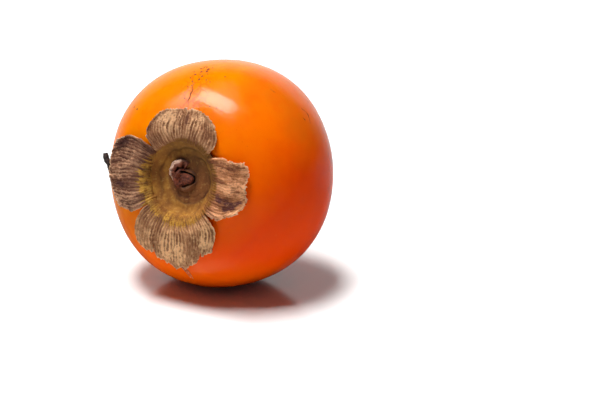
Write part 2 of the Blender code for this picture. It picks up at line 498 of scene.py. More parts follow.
def thread_mesh(name: str, runs: Sequence[tuple[np.ndarray, np.ndarray]], finish: bpy.types.Material,
                knots: float, sides: int = 12) -> bpy.types.Mesh:
    """Grows tubes of changing thickness along some paths.

    Args:
        name: The mesh's name.
        runs: Each path's places, and its radius at each of them.
        finish: The material.
        knots: How much the thickness varies by itself, from 0 to 1.
        sides: How many faces go round each tube.

    Returns:
        The mesh.
    """
    places = np.vstack([run for run, _ in runs])
    starts = np.cumsum([0] + [len(run) for run, _ in runs])
    edges = [(i, i + 1) for i in range(len(places) - 1) if i + 1 not in starts]
    seed = bpy.data.meshes.new(name)
    seed.from_pydata(places.tolist(), edges, [])
    girths = np.concatenate([girth for _, girth in runs])
    store(seed, "girth", girths)
    sizes = {"Knots": knots}
    tree, size = Tree.geometry(f"{name}_form", sizes)
    path = tree.wire("GeometryNodeMeshToCurve", {0: size["Geometry"]})
    girth = tree.stored("girth")
    uneven = tree.drift(tree.spot(), 1400, 2)
    radius = girth * (1.0 + uneven * 2.0 * size["Knots"]) / MM
    sized = tree.wire("GeometryNodeSetCurveRadius", {"Curve": path, "Radius": radius})
    profile = tree.wire("GeometryNodeCurvePrimitiveCircle", {"Resolution": sides, "Radius": 1.0 * MM})
    node = tree.node("GeometryNodeCurveToMesh", {"Curve": sized, "Profile Curve": profile, "Fill Caps": True})
    # Newer versions of Blender take the thickness through this input.
    if "Scale" in node.inputs:
        tree.tree.links.new(tree.wire("GeometryNodeInputRadius").socket, node.inputs["Scale"])
    tree.close(Wire(tree, node.outputs[0]), size["Finish"])
    return grow(name, tree, sizes, finish, seed)


def eased(share: np.ndarray) -> np.ndarray:
    """Carries 0 to 1 along a smooth step."""
    return share * share * (3 - 2 * share)


def soft_noise(places: np.ndarray, seed: int, knots: int) -> np.ndarray:
    """Samples a smooth wandering curve at places of 0 to 1.

    Args:
        places: Where to sample.
        seed: Which curve.
        knots: How many random heights the curve runs through.

    Returns:
        Values of -1 to 1.
    """
    heights = np.random.default_rng(seed).uniform(-1, 1, knots + 1)
    spot = np.clip(places, 0, 1) * knots
    left = np.minimum(spot.astype(int), knots - 1)
    share = eased(spot - left)
    return heights[left] * (1 - share) + heights[left + 1] * share


@dataclass(frozen=True)
class FruitForm:
    """The berry's rule: a boxy ellipse turned about its axis, hollowed under the calyx."""

    equator_radius: float = 37.0 * MM
    calyx_height: float = 26.8 * MM
    blossom_height: float = 29.6 * MM
    calyx_power: float = 2.39
    blossom_power: float = 2.26
    squareness: float = 0.0115
    square_turn: float = math.radians(9.9)
    ovalness: float = 0.008
    oval_turn: float = math.radians(51.5)
    cavity_depth: float = 7.0 * MM
    cavity_radius: float = 12.4 * MM
    cavity_power: float = 4.2
    dimple_depth: float = 0.9 * MM
    dimple_radius: float = 2.6 * MM
    tilt: float = math.radians(11.3)

    def sizes(self) -> dict[str, float]:
        """The form's sizes as tree inputs."""
        return labelled(self, *(field.name for field in fields(self) if field.name != "tilt"))

    def side_factor(self, angle: np.ndarray) -> np.ndarray:
        """How far the wall stands from the axis in each direction, around 1."""
        square = self.squareness * np.cos(4 * (angle - self.square_turn))
        return 1 - square + self.ovalness * np.cos(2 * (angle - self.oval_turn))

    def shell(self, turn: np.ndarray, angle: np.ndarray) -> np.ndarray:
        """Finds points on the skin, before the hollow and the dimple.

        Args:
            turn: From 0 at the calyx end to pi at the blossom end.
            angle: Direction round the axis.

        Returns:
            The points, with a last axis of three.
        """
        upper = np.cos(turn) >= 0
        power = np.where(upper, self.calyx_power, self.blossom_power)
        share = np.abs(np.sin(turn)) ** (2 / power)
        height = np.where(upper, self.calyx_height, -self.blossom_height)
        radius = self.equator_radius * share * (1 + (self.side_factor(angle) - 1) * share**power)
        along = height * np.abs(np.cos(turn)) ** (2 / power)
        return np.stack([radius * np.cos(angle), radius * np.sin(angle), along], axis=-1)

    def calyx_end(self, x: np.ndarray, y: np.ndarray) -> np.ndarray:
        """Finds the height of the skin above the widest ring, under the calyx.

        Args:
            x: Places across the fruit.
            y: Places up the fruit.

        Returns:
            The heights.
        """
        radius = np.hypot(x, y)
        factor = self.side_factor(np.arctan2(y, x))
        inner = radius
        for _ in range(3):
            bulge = np.minimum(1.0, inner / self.equator_radius) ** self.calyx_power
            inner = radius / (1 + (factor - 1) * bulge)
        share = np.minimum(1.0, inner / self.equator_radius) ** self.calyx_power
        dome = self.calyx_height * (1 - share) ** (1 / self.calyx_power)
        return dome - self.cavity_depth * np.exp(-((inner / self.cavity_radius) ** self.cavity_power))

    def lay_down(self) -> Matrix:
        """The turn that takes the fruit's axis from upright to where it lies."""
        return Matrix.Rotation(math.pi / 2 - self.tilt, 4, "X")

    def place(self) -> Matrix:
        """Finds where the fruit lies, from the solid's own box.

        Returns:
            The matrix from the fruit's axis to the world.
        """
        turn, angle = np.meshgrid(np.linspace(0, math.pi, 181), np.linspace(0, 2 * math.pi, 361))
        turned = self.shell(turn, angle).reshape(-1, 3) @ np.array(self.lay_down().to_3x3()).T
        low, high = (np.array(corner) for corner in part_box("fruit_body"))
        middle = (low + high) / 2 - (turned.min(axis=0) + turned.max(axis=0)) / 2
        top = high[2] - turned[:, 2].max()
        return Matrix.Translation((middle[0], middle[1], top)) @ self.lay_down()


@dataclass(frozen=True)
class Finish:
    """What every finish shares: a material whose pattern hangs on the fruit's own axis."""

    roughness = 0.5
    specular = 0.5
    name: str
    place: Matrix

    def build(self) -> bpy.types.Material:
        """Makes the material, with the place on the fruit's own axis for its pattern.

        Returns:
            The material.
        """
        material = bpy.data.materials.new(self.name)
        material.use_nodes = True
        tree = Tree(material.node_tree)
        feeds = {"Vector": tree.wire("ShaderNodeTexCoord", out="Object")}
        feeds |= {"Location": tuple(self.place.to_translation()), "Rotation": tuple(self.place.to_euler())}
        local = tree.wire("ShaderNodeMapping", feeds, vector_type="TEXTURE")
        levels = {"Roughness": self.roughness, "Specular IOR Level": self.specular}
        shader = tree.wire("ShaderNodeBsdfPrincipled", {**levels, **self.paint(tree, local)})
        tree.node("ShaderNodeOutputMaterial", {0: shader})
        return material

    def paint(self, tree: Tree, local: Wire) -> Feeds:
        """Writes what the shader's inputs take, by their names.

        Args:
            tree: The material's tree.
            local: The place on the fruit's own axis.

        Returns:
            The feeds, over the finish's own roughness and specular level.
        """
        raise NotImplementedError


@dataclass(frozen=True)
class SkinFinish(Finish):
    """Waxy ripe skin: yellow orange by the calyx's upper side, red orange round the far side."""

    roughness = 0.2
    specular = 0.14
    golden: tuple = tone(234, 124, 0)
    orange: tuple = tone(240, 102, 0)
    deep: tuple = tone(228, 66, 0)
    dull: tuple = tone(200, 96, 14)
    scorched: tuple = tone(196, 66, 2)
    ripening: Point = (0.95, -0.85, -0.35)
    ripening_reach: float = 60 * MM
    shoulder_shade_reach: Pair = (42 * MM, 52 * MM)
    warm_underside: Pair = (-20 * MM, -32 * MM)
    flesh_glow: float = 0.12
    flesh_reach: Point = (1.0, 0.28, 0.05)
    flesh_depth: float = 2.5 * MM
    crazed_sides: Pair = (7.0 * MM, 2.5 * MM)
    crazed_foot: Pair = (19 * MM, 22 * MM)
    crazed_top: Pair = (34 * MM, 28 * MM)
    crazed_scale: float = 480.0
    crazed_wander: float = 2.2 * MM

    def paint(self, tree: Tree, local: Wire) -> Feeds:
        """Writes the skin's pattern."""
        x, y, z = tree.separate(local)
        drift = tree.noise(local, 55, 3)
        along_x, along_y, along_z = self.ripening
        ripeness = (x * along_x + y * along_y + z * along_z) / self.ripening_reach + 0.5 + (drift - 0.5) * 0.3
        # Painted shade: the skin turns duller and darker towards the upper right shoulder, where less light
        # falls.
        painted_shoulder_shade = tree.span(x + y + (drift - 0.5) * 16 * MM, *self.shoulder_shade_reach)
        clouds = tree.span(tree.noise(local, 190, 4, 0.6), 0.42, 0.75)
        flecks = tree.span(tree.noise(local, 1500, 1), 0.70, 0.78)
        crazing = self.crazing(tree, local)
        colour = tree.layers(
            tree.ramp(ripeness, [(0.12, self.golden), (0.55, self.orange), (0.98, self.deep)]),
            (painted_shoulder_shade * 0.6, self.dull),
            (tree.span(y, *self.warm_underside) * 0.6, self.orange),
            (clouds * 0.24, self.deep),
            (flecks * 0.22, self.scorched),
            (crazing * 0.5, self.scorched),
        )
        fine = tree.noise(local, 2600, 2)
        ripples = tree.noise(tree.vector("MULTIPLY", local, (1.0, 1.0, 3.4)), 260, 2)
        height = fine * 0.12 + ripples * 0.5 - crazing * 0.2
        rough = tree.span(tree.noise(local, 320, 3), 0.35, 0.7, 0.15, 0.22)
        return {
            "Base Color": colour, "Roughness": rough, "Normal": tree.bump(height, 0.10 * MM),
            "Subsurface Weight": self.flesh_glow, "Subsurface Radius": self.flesh_reach,
            "Subsurface Scale": self.flesh_depth,
        }

    def crazing(self, tree: Tree, local: Wire) -> Wire:
        """Writes the fine net of wrinkles round the crack above the calyx.

        Args:
            tree: The material's tree.
            local: The place on the fruit's axis.

        Returns:
            How deep in a wrinkle each place is, from 0 to 1.
        """
        x, y, z = tree.separate(local)
        near = tree.span(tree.size_of(x), *self.crazed_sides) * tree.above(z)
        near = near * tree.span(y, *self.crazed_foot) * tree.span(y, *self.crazed_top)
        warped = tree.vector("ADD", local, tree.scaled(tree.noise(local, 420, 2), self.crazed_wander))
        stretched = tree.vector("MULTIPLY", warped, (1.0, 0.6, 1.0))
        net = {"Vector": stretched, "Scale": self.crazed_scale}
        edge = tree.wire("ShaderNodeTexVoronoi", net, "Distance", feature="DISTANCE_TO_EDGE")
        return tree.span(edge, 0.12, 0.03) * near


@dataclass(frozen=True)
class CalyxTone:
    """The colours of one lobe: its crests, its flats, its grooves and the blot on it."""

    crest: tuple
    flat: tuple
    groove: tuple
    blot: tuple
    blot_share: float


class LobeTone(Enum):
    """How each part of the calyx has dried."""

    STRAW = CalyxTone(tone(242, 178, 130), tone(184, 121, 80), tone(104, 56, 36), tone(84, 48, 50), 0.95)
    ROSY = CalyxTone(tone(222, 174, 130), tone(162, 113, 79), tone(108, 65, 43), tone(102, 64, 56), 0.7)
    UMBER = CalyxTone(tone(184, 138, 106), tone(122, 80, 59), tone(72, 42, 32), tone(74, 44, 46), 0.8)
    SANDY = CalyxTone(tone(232, 184, 134), tone(164, 116, 80), tone(104, 64, 42), tone(92, 57, 43), 0.7)
    CUP = CalyxTone(tone(176, 122, 60), tone(136, 88, 44), tone(82, 48, 26), tone(82, 48, 26), 0.4)


@dataclass(frozen=True)
class CalyxFinish(Finish):
    """Dried calyx: leathery ochre in the cup, ribbed and papery on the lobes."""

    roughness = 0.75
    specular = 0.08
    lobe: CalyxTone
    ochre: tuple = tone(172, 117, 50)
    umber: tuple = tone(128, 80, 36)
    clay: tuple = tone(141, 87, 46)
    cocoa: tuple = tone(104, 60, 32)
    lichen: tuple = tone(190, 140, 58)
    bleached: tuple = tone(214, 168, 88)
    olive: tuple = tone(104, 74, 38)
    edge: tuple = tone(232, 192, 154)
    soot: tuple = tone(46, 24, 14)
    lichen_side: float = math.radians(-134)
    leather_side: float = math.radians(12)
    painted_shade_side: float = math.radians(76)
    plate_reach: Pair = (6.8, 8.4)
    yellowing: Pair = (10.6, 13.2)
    stub_shade: Pair = (5.4, 4.2)
    lobe_start: float = 12.0
    lichen_reach: float = 2.8
    leather_reach: float = 2.1
    crumpled: Pair = (13.5, 18.0)

    def paint(self, tree: Tree, local: Wire) -> Feeds:
        """Writes the pattern of a lobe or of the cup."""
        x, y, _ = tree.separate(local)
        radius, around = tree.length(x, y) / MM, tree.around(x, y)
        rib = tree.attribute("rib")
        threads = tree.weave(around * 60, radius * 0.4, 0.0, 3, 0.7)
        patches = tree.noise(local, 260, 3, 0.6)
        lichen_share = tree.span(tree.cos(around - self.lichen_side), -0.1, 0.8)
        leather = self.leather(tree, local, radius, patches, lichen_share)
        # Painted shade: the cup's upper side, which the bowl's own wall shades from the light above, turns
        # olive brown, more so towards the rim.
        painted_shade = tree.span(tree.cos(around - self.painted_shade_side) * radius, 1.5, 10.5)
        leather = tree.mix(painted_shade * 0.6, leather, self.olive)
        dry = self.papery(tree, local, rib, threads, patches)
        leathery = tree.span(tree.cos(around - self.leather_side), -0.35, 0.7)
        reach = self.lobe_start + lichen_share * self.lichen_reach + leathery * self.leather_reach
        reach = reach + (patches - 0.5) * 2.2
        reach = reach + (rib - 0.6) * (1.0 + lichen_share * 2.4)
        dried = tree.span(radius, reach - 0.5, reach + 0.5)
        # Darker in the rib grooves: partly the lobe's own dark veins, partly painted shade in the grooves.
        grooves = tree.span(rib, 0.44, 0.08) * tree.span(radius, 9.8, 14.0, 0.3, 0.74)
        outer = tree.span(radius + (patches - 0.5) * 6.0, *self.crumpled)
        crinkle = tree.noise(local, 760, 2, 0.55)
        colour = tree.layers(
            tree.mix(dried, leather, dry),
            (grooves, self.lobe.groove),
            # Pale along the lobes' rims: partly pale worn edges, partly painted highlight where the curled
            # rims catch the light.
            (tree.attribute("rim") * tree.span(patches, 0.35, 0.6, 0.1, 0.75), self.edge),
            # Painted shade: dark brown along the cup's creases and folds.
            (tree.attribute("crease") * 0.85, self.soot),
            # Painted shade in the hollows of the outer lobe's crumples and painted highlight on their bumps;
            # the same crinkle also raises the bump.
            (tree.span(crinkle, 0.42, 0.28) * outer * 0.6, self.lobe.groove),
            (tree.span(crinkle, 0.56, 0.70) * outer * 0.4, self.lobe.crest),
        )
        grain = threads * 0.6 + tree.noise(local, 2400, 2) * 0.4 + crinkle * outer * 3.0
        return {"Base Color": colour, "Normal": tree.bump(grain, 0.12 * MM)}

    def leather(self, tree: Tree, local: Wire, radius: Wire, patches: Wire, lichen_share: Wire) -> Wire:
        """Writes the colour of the cup, by the distance from the middle.

        Args:
            tree: The material's tree.
            local: The place on the fruit's axis.
            radius: The distance from that axis in millimetres.
            patches: A blotchy noise.
            lichen_share: How far each direction faces the side that has stayed yellow.

        Returns:
            The colour.
        """
        smears = tree.noise(tree.vector("MULTIPLY", local, (1.0, 0.35, 1.0)), 420, 3, 0.6)
        wall = tree.mix(tree.span(smears * 0.6 + patches * 0.4, 0.36, 0.64), self.umber, self.ochre)
        floor = tree.mix(tree.span(smears * 0.5 + patches * 0.5, 0.36, 0.64), self.cocoa, self.clay)
        reach = tree.reach(local, PLATE_CENTRE)
        yellowed = tree.span(radius + (smears - 0.5) * 5.0, *self.yellowing) * lichen_share
        freckles = tree.noise(local, 900, 3, 0.6)
        # Painted shade: the cup's floor darkens towards cocoa round the stem stub, where the stub and its
        # bark shade it.
        hollow = tree.span(radius + (patches - 0.5) * 1.2, *self.stub_shade)
        return tree.layers(
            floor,
            (tree.span(reach + (patches - 0.5) * 2.4, *self.plate_reach), wall),
            (yellowed, self.lichen),
            (tree.span(freckles, 0.5, 0.38) * (0.4 + yellowed * 0.4), self.umber),
            (tree.span(freckles, 0.55, 0.68) * (0.25 + yellowed * 0.35), self.bleached),
            (hollow * 0.35, self.cocoa),
        )

    def papery(self, tree: Tree, local: Wire, rib: Wire, threads: Wire, patches: Wire) -> Wire:
        """Writes the colour of the dried, ribbed lobes.

        Args:
            tree: The material's tree.
            local: The place on the fruit's axis.
            rib: How far up a rib each place is.
            threads: A fibrous noise that runs outwards.
            patches: A blotchy noise.

        Returns:
            The colour.
        """
        stain = tree.attribute("stain")
        mottle = tree.noise(local, 520, 3, 0.65)
        # Paler on the crests: partly the lobe's own colour, partly painted highlight along the relief of the
        # ribs and crumples.
        light = patches * 0.30 + threads * 0.20 + mottle * 0.22 + rib * 0.26 - stain * 0.24
        blots = tree.span(stain * 0.5 + patches * 0.5 + mottle * 0.4, 0.66, 0.92)
        blots = blots * tree.span(rib, 1.0, 0.45, 0.45, 1.0)
        return tree.layers(
            self.lobe.flat,
            (tree.span(light, 0.40, 0.66), self.lobe.crest),
            (blots * self.lobe.blot_share, self.lobe.blot),
            (tree.span(threads, 0.42, 0.24) * 0.5, self.lobe.groove),
        )


class WoodPart(Enum):
    """Which woody or shrivelled part a finish is for: its dark tone, then its light tone."""

    CORE = (tone(74, 32, 19), tone(138, 68, 42))
    BARK = (tone(112, 68, 50), tone(164, 112, 88))
    CHAR = (tone(24, 17, 16), tone(62, 46, 42))
    STRAW = (tone(120, 78, 52), tone(196, 148, 112))


@dataclass(frozen=True)
class WoodFinish(Finish):
    """Dry wood, bark or a shrivelled tip: two tones in short fibres."""

    roughness = 0.75
    specular = 0.2
    part: WoodPart
    frayed: tuple = tone(238, 196, 170)
    ruddy: tuple = tone(130, 72, 50)
    ruddy_reach: Pair = (4.5, 3.9)
    frayed_reach: Pair = (4.1, 4.7)
    plate_dark: tuple = tone(100, 58, 32)
    plate_light: tuple = tone(134, 84, 48)
    soot: tuple = tone(24, 11, 6)

    def paint(self, tree: Tree, local: Wire) -> Feeds:
        """Writes the pattern of this part."""
        fibres = tree.noise(tree.vector("MULTIPLY", local, (1.0, 1.0, 0.3)), 1500, 4, 0.65)
        patches = tree.noise(local, 520, 3)
        dark, light = self.part.value
        colour = tree.mix(tree.span(fibres * 0.6 + patches * 0.4, 0.38, 0.64), dark, light)
        if self.part is WoodPart.BARK:
            colour = self.weathered(tree, local, colour, fibres, patches)
        if self.part is WoodPart.CORE:
            heart = tree.mix(patches, self.plate_dark, self.plate_light)
            colour = tree.mix(tree.attribute("heart"), heart, colour)
            # Painted shade: the crack round the core darkens to near black.
            colour = tree.mix(tree.span(tree.attribute("crack"), 0.2, 0.5), colour, self.soot)
        return {"Base Color": colour, "Normal": tree.bump(fibres, 0.12 * MM)}

    def weathered(self, tree: Tree, local: Wire, colour: Wire, fibres: Wire, patches: Wire) -> Wire:
        """Turns the bark ruddy inside and pale where its rim is frayed.

        Args:
            tree: The material's tree.
            local: The place on the fruit's own axis.
            colour: The bark's colour so far.
            fibres: A fibrous noise.
            patches: A blotchy noise.

        Returns:
            The colour.
        """
        turn, rise, _ = tree.separate(tree.wire("ShaderNodeUVMap", uv_map="blade"))
        reach = tree.reach(local, BARK_CENTRE) + (patches - 0.5) * 1.6
        frayed = tree.span(rise + (patches - 0.5) * 0.8, 0.5, 0.85) * tree.span(turn, 0.85, 0.45)
        frayed = frayed * tree.span(fibres, 0.34, 0.56, 0.35, 1.0)
        return tree.layers(
            colour,
            (tree.span(reach, *self.ruddy_reach), self.ruddy),
            (frayed * tree.span(reach, *self.frayed_reach), self.frayed),
        )


@dataclass(frozen=True)
class ScarFinish(Finish):
    """Cork that has closed a crack or a pore of the skin."""

    roughness = 0.6
    specular = 0.2
    dark: tuple = tone(98, 34, 10)
    light: tuple = tone(164, 74, 22)

    def paint(self, tree: Tree, local: Wire) -> Feeds:
        """Writes the pattern of the scars."""
        grain = tree.noise(local, 1600, 2)
        colour = tree.mix(tree.span(grain, 0.38, 0.66), self.dark, self.light)
        return {"Base Color": colour, "Normal": tree.bump(grain, 0.05 * MM)}


@dataclass(frozen=True)
class FloorFinish(Finish):
    """A smooth pale table."""

    roughness = 0.14
    specular = 0.5
    away: tuple = (0.0, 1.0, 0.0)
    pale: tuple = (0.93, 0.925, 0.92, 1.0)
    cloudy: tuple = (0.9, 0.89, 0.88, 1.0)
    unlit: tuple = (0.05, 0.05, 0.05, 1.0)
    lit: tuple = (1.0, 1.0, 1.0, 1.0)
    brightening: Pair = (0.14, 0.8)
    darkening: Pair = (0.12, 0.0)

    def paint(self, tree: Tree, local: Wire) -> Feeds:
        """Writes the table's pattern, which mirrors dark on the near side, as if a black card lay there."""
        colour = tree.mix(tree.noise(local, 3, 2) * 0.02, self.pale, self.cloudy)
        near = tree.span(tree.vector("DOT_PRODUCT", local, self.away, out="Value"), *self.darkening, 0.5, 1.0)
        mirrored = tree.wire("ShaderNodeLightPath", out="Is Glossy Ray")
        x, y, _ = tree.separate(local)
        seen = tree.wire("ShaderNodeLightPath", out="Is Camera Ray")
        glow = tree.span(tree.length(x, y), *self.brightening) * seen
        colour = tree.mix(near * mirrored, colour, self.unlit)
        return {"Base Color": colour, "Emission Strength": glow, "Emission Color": self.lit}


@dataclass(frozen=True)
class Assembly:
    """What every sub-assembly shares: the fruit's form, where it lies, and how a piece is added."""

    form: FruitForm
    place: Matrix

    def add(self, mesh: bpy.types.Mesh, slot: str, replaced: Sequence[str] = ()) -> bpy.types.Object:
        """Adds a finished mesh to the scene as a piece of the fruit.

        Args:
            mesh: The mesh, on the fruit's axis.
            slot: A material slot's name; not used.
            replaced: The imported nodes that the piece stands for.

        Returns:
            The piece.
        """
        mesh.transform(self.place)
        mesh.update()
        piece = link(mesh.name, mesh)
        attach(piece, BODY)
        if replaced:
            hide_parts(*replaced)
        LOG.info("%s: %d faces", piece.name, len(mesh.polygons))
        return piece


@dataclass
class FruitSkin:
    """The berry: its form, its shallow lobes and dents, and the fold above the calyx.

    Once it is built, surface and raw keep the skin on the fruit's axis for the marks that lie on it.
    """

    site: Assembly
    segments: int = 360
    rings: int = 240
    rest_level: float = 0.0
    undulation: float = 0.22 * MM
    ripple: float = 0.035 * MM
    fold_depth: float = 0.13 * MM
    fold_width: float = 2.0 * MM
    fold_aside: float = 1.2 * MM
    fold_foot: Pair = (20 * MM, 24 * MM)
    fold_top: Pair = (36 * MM, 29 * MM)
    pleats: float = 14.0
    pleat_reach: Pair = (9 * MM, 1.5 * MM)
    pucker: float = 0.10 * MM
    surface: BVHTree | None = None
    raw: bpy.types.Mesh | None = None

    def sizes(self) -> dict[str, float]:
        """The tree's inputs and what they take."""
        own = labelled(self, "undulation", "ripple", "fold_depth", "fold_width", "fold_aside")
        own |= labelled(self, "pleats", "pucker")
        return {**self.site.form.sizes(), **own}

    def tree(self) -> Tree:
        """Writes the tree that grows the skin from a sphere."""
        tree, size = Tree.geometry("fruit_skin_form", self.sizes())
        ball = tree.ball(self.segments, self.rings)
        x, y, z = tree.separate(tree.spot())
        reach = tree.math("MAXIMUM", tree.length(x, y), 1e-6)
        angle = tree.around(x, y)
        upper = tree.above(z)
        lower = 1.0 - upper
        power = size["Calyx Power"] * upper + size["Blossom Power"] * lower
        share = reach ** (2.0 / power)
        square = size["Squareness"] * tree.cos((angle - size["Square Turn"]) * 4.0)
        oval = size["Ovalness"] * tree.cos((angle - size["Oval Turn"]) * 2.0)
        round_radius = size["Equator Radius"] * share
        radius = round_radius * (1.0 + (oval - square) * share**power)
        height = size["Calyx Height"] * upper - size["Blossom Height"] * lower
        along = height * tree.size_of(z) ** (2.0 / power)
        hollow = tree.math("EXPONENT", 0.0 - (round_radius / size["Cavity Radius"]) ** size["Cavity Power"])
        dimple = tree.bell(round_radius / size["Dimple Radius"])
        along = along - size["Cavity Depth"] * hollow * upper + size["Dimple Depth"] * dimple * lower
        direction = tree.vector("NORMALIZE", tree.combine(x / reach, y / reach, 0.0))
        formed = tree.vector("ADD", tree.scaled(direction, radius), tree.combine(0.0, 0.0, along))
        shaped = tree.formed(ball, formed)
        tree.close(tree.raised(shaped, self.relief(tree, size)), size["Finish"])
        return tree

    def relief(self, tree: Tree, size: dict[str, Wire]) -> Wire:
        """Writes how far the skin stands out of its smooth form at each place.

        Args:
            tree: The tree.
            size: The tree's inputs.

        Returns:
            The distance along the normal.
        """
        place = tree.spot()
        x, y, z = tree.separate(place)
        reach = tree.length(x, y)
        broad = (tree.noise(place, 42, 1) - 0.55) * 2.0 * size["Undulation"]
        rippled = tree.drift(place, 260, 2) * 2.0 * size["Ripple"]
        wander = tree.drift(place, 180, 1) * 2.0 * MM
        across = (x + size["Fold Aside"] + wander) / size["Fold Width"]
        ends = tree.span(y, *self.fold_top) * tree.span(y, *self.fold_foot) * tree.above(z)
        fold = tree.bell(across) * ends * size["Fold Depth"]
        pleats = tree.sin(tree.around(x, y) * size["Pleats"] + tree.noise(place, 90, 1) * 9.0)
        near_tip = tree.span(reach, *self.pleat_reach) * (1.0 - tree.above(z))
        return broad + rippled - fold + pleats * near_tip * size["Pucker"]

    def build(self) -> bpy.types.Object:
        """Grows the skin, presses its rest spot flat and adds it."""
        material = SkinFinish("fruit_skin_waxy", self.site.place).build()
        mesh = grow("persimmon_skin", self.tree(), self.sizes(), material)
        self.press_flat(mesh)
        corners = [vertex.co.copy() for vertex in mesh.vertices]
        self.surface = BVHTree.FromPolygons(corners, [tuple(face.vertices) for face in mesh.polygons])
        self.raw = mesh.copy()
        return self.site.add(mesh, "fruit_skin", ["fruit_body"])

    def press_flat(self, mesh: bpy.types.Mesh) -> None:
        """Flattens what would reach below the surface that the fruit lies on.

        Args:
            mesh: The skin, on the fruit's axis.
        """
        points = np.empty(len(mesh.vertices) * 3)
        mesh.vertices.foreach_get("co", points)
        points = points.reshape(-1, 3)
        turn = np.array(self.site.place.to_3x3())
        world = points @ turn.T + np.array(self.site.place.to_translation())
        world[:, 2] = np.maximum(world[:, 2], self.rest_level)
        back = (world - np.array(self.site.place.to_translation())) @ turn
        mesh.vertices.foreach_set("co", back.ravel())


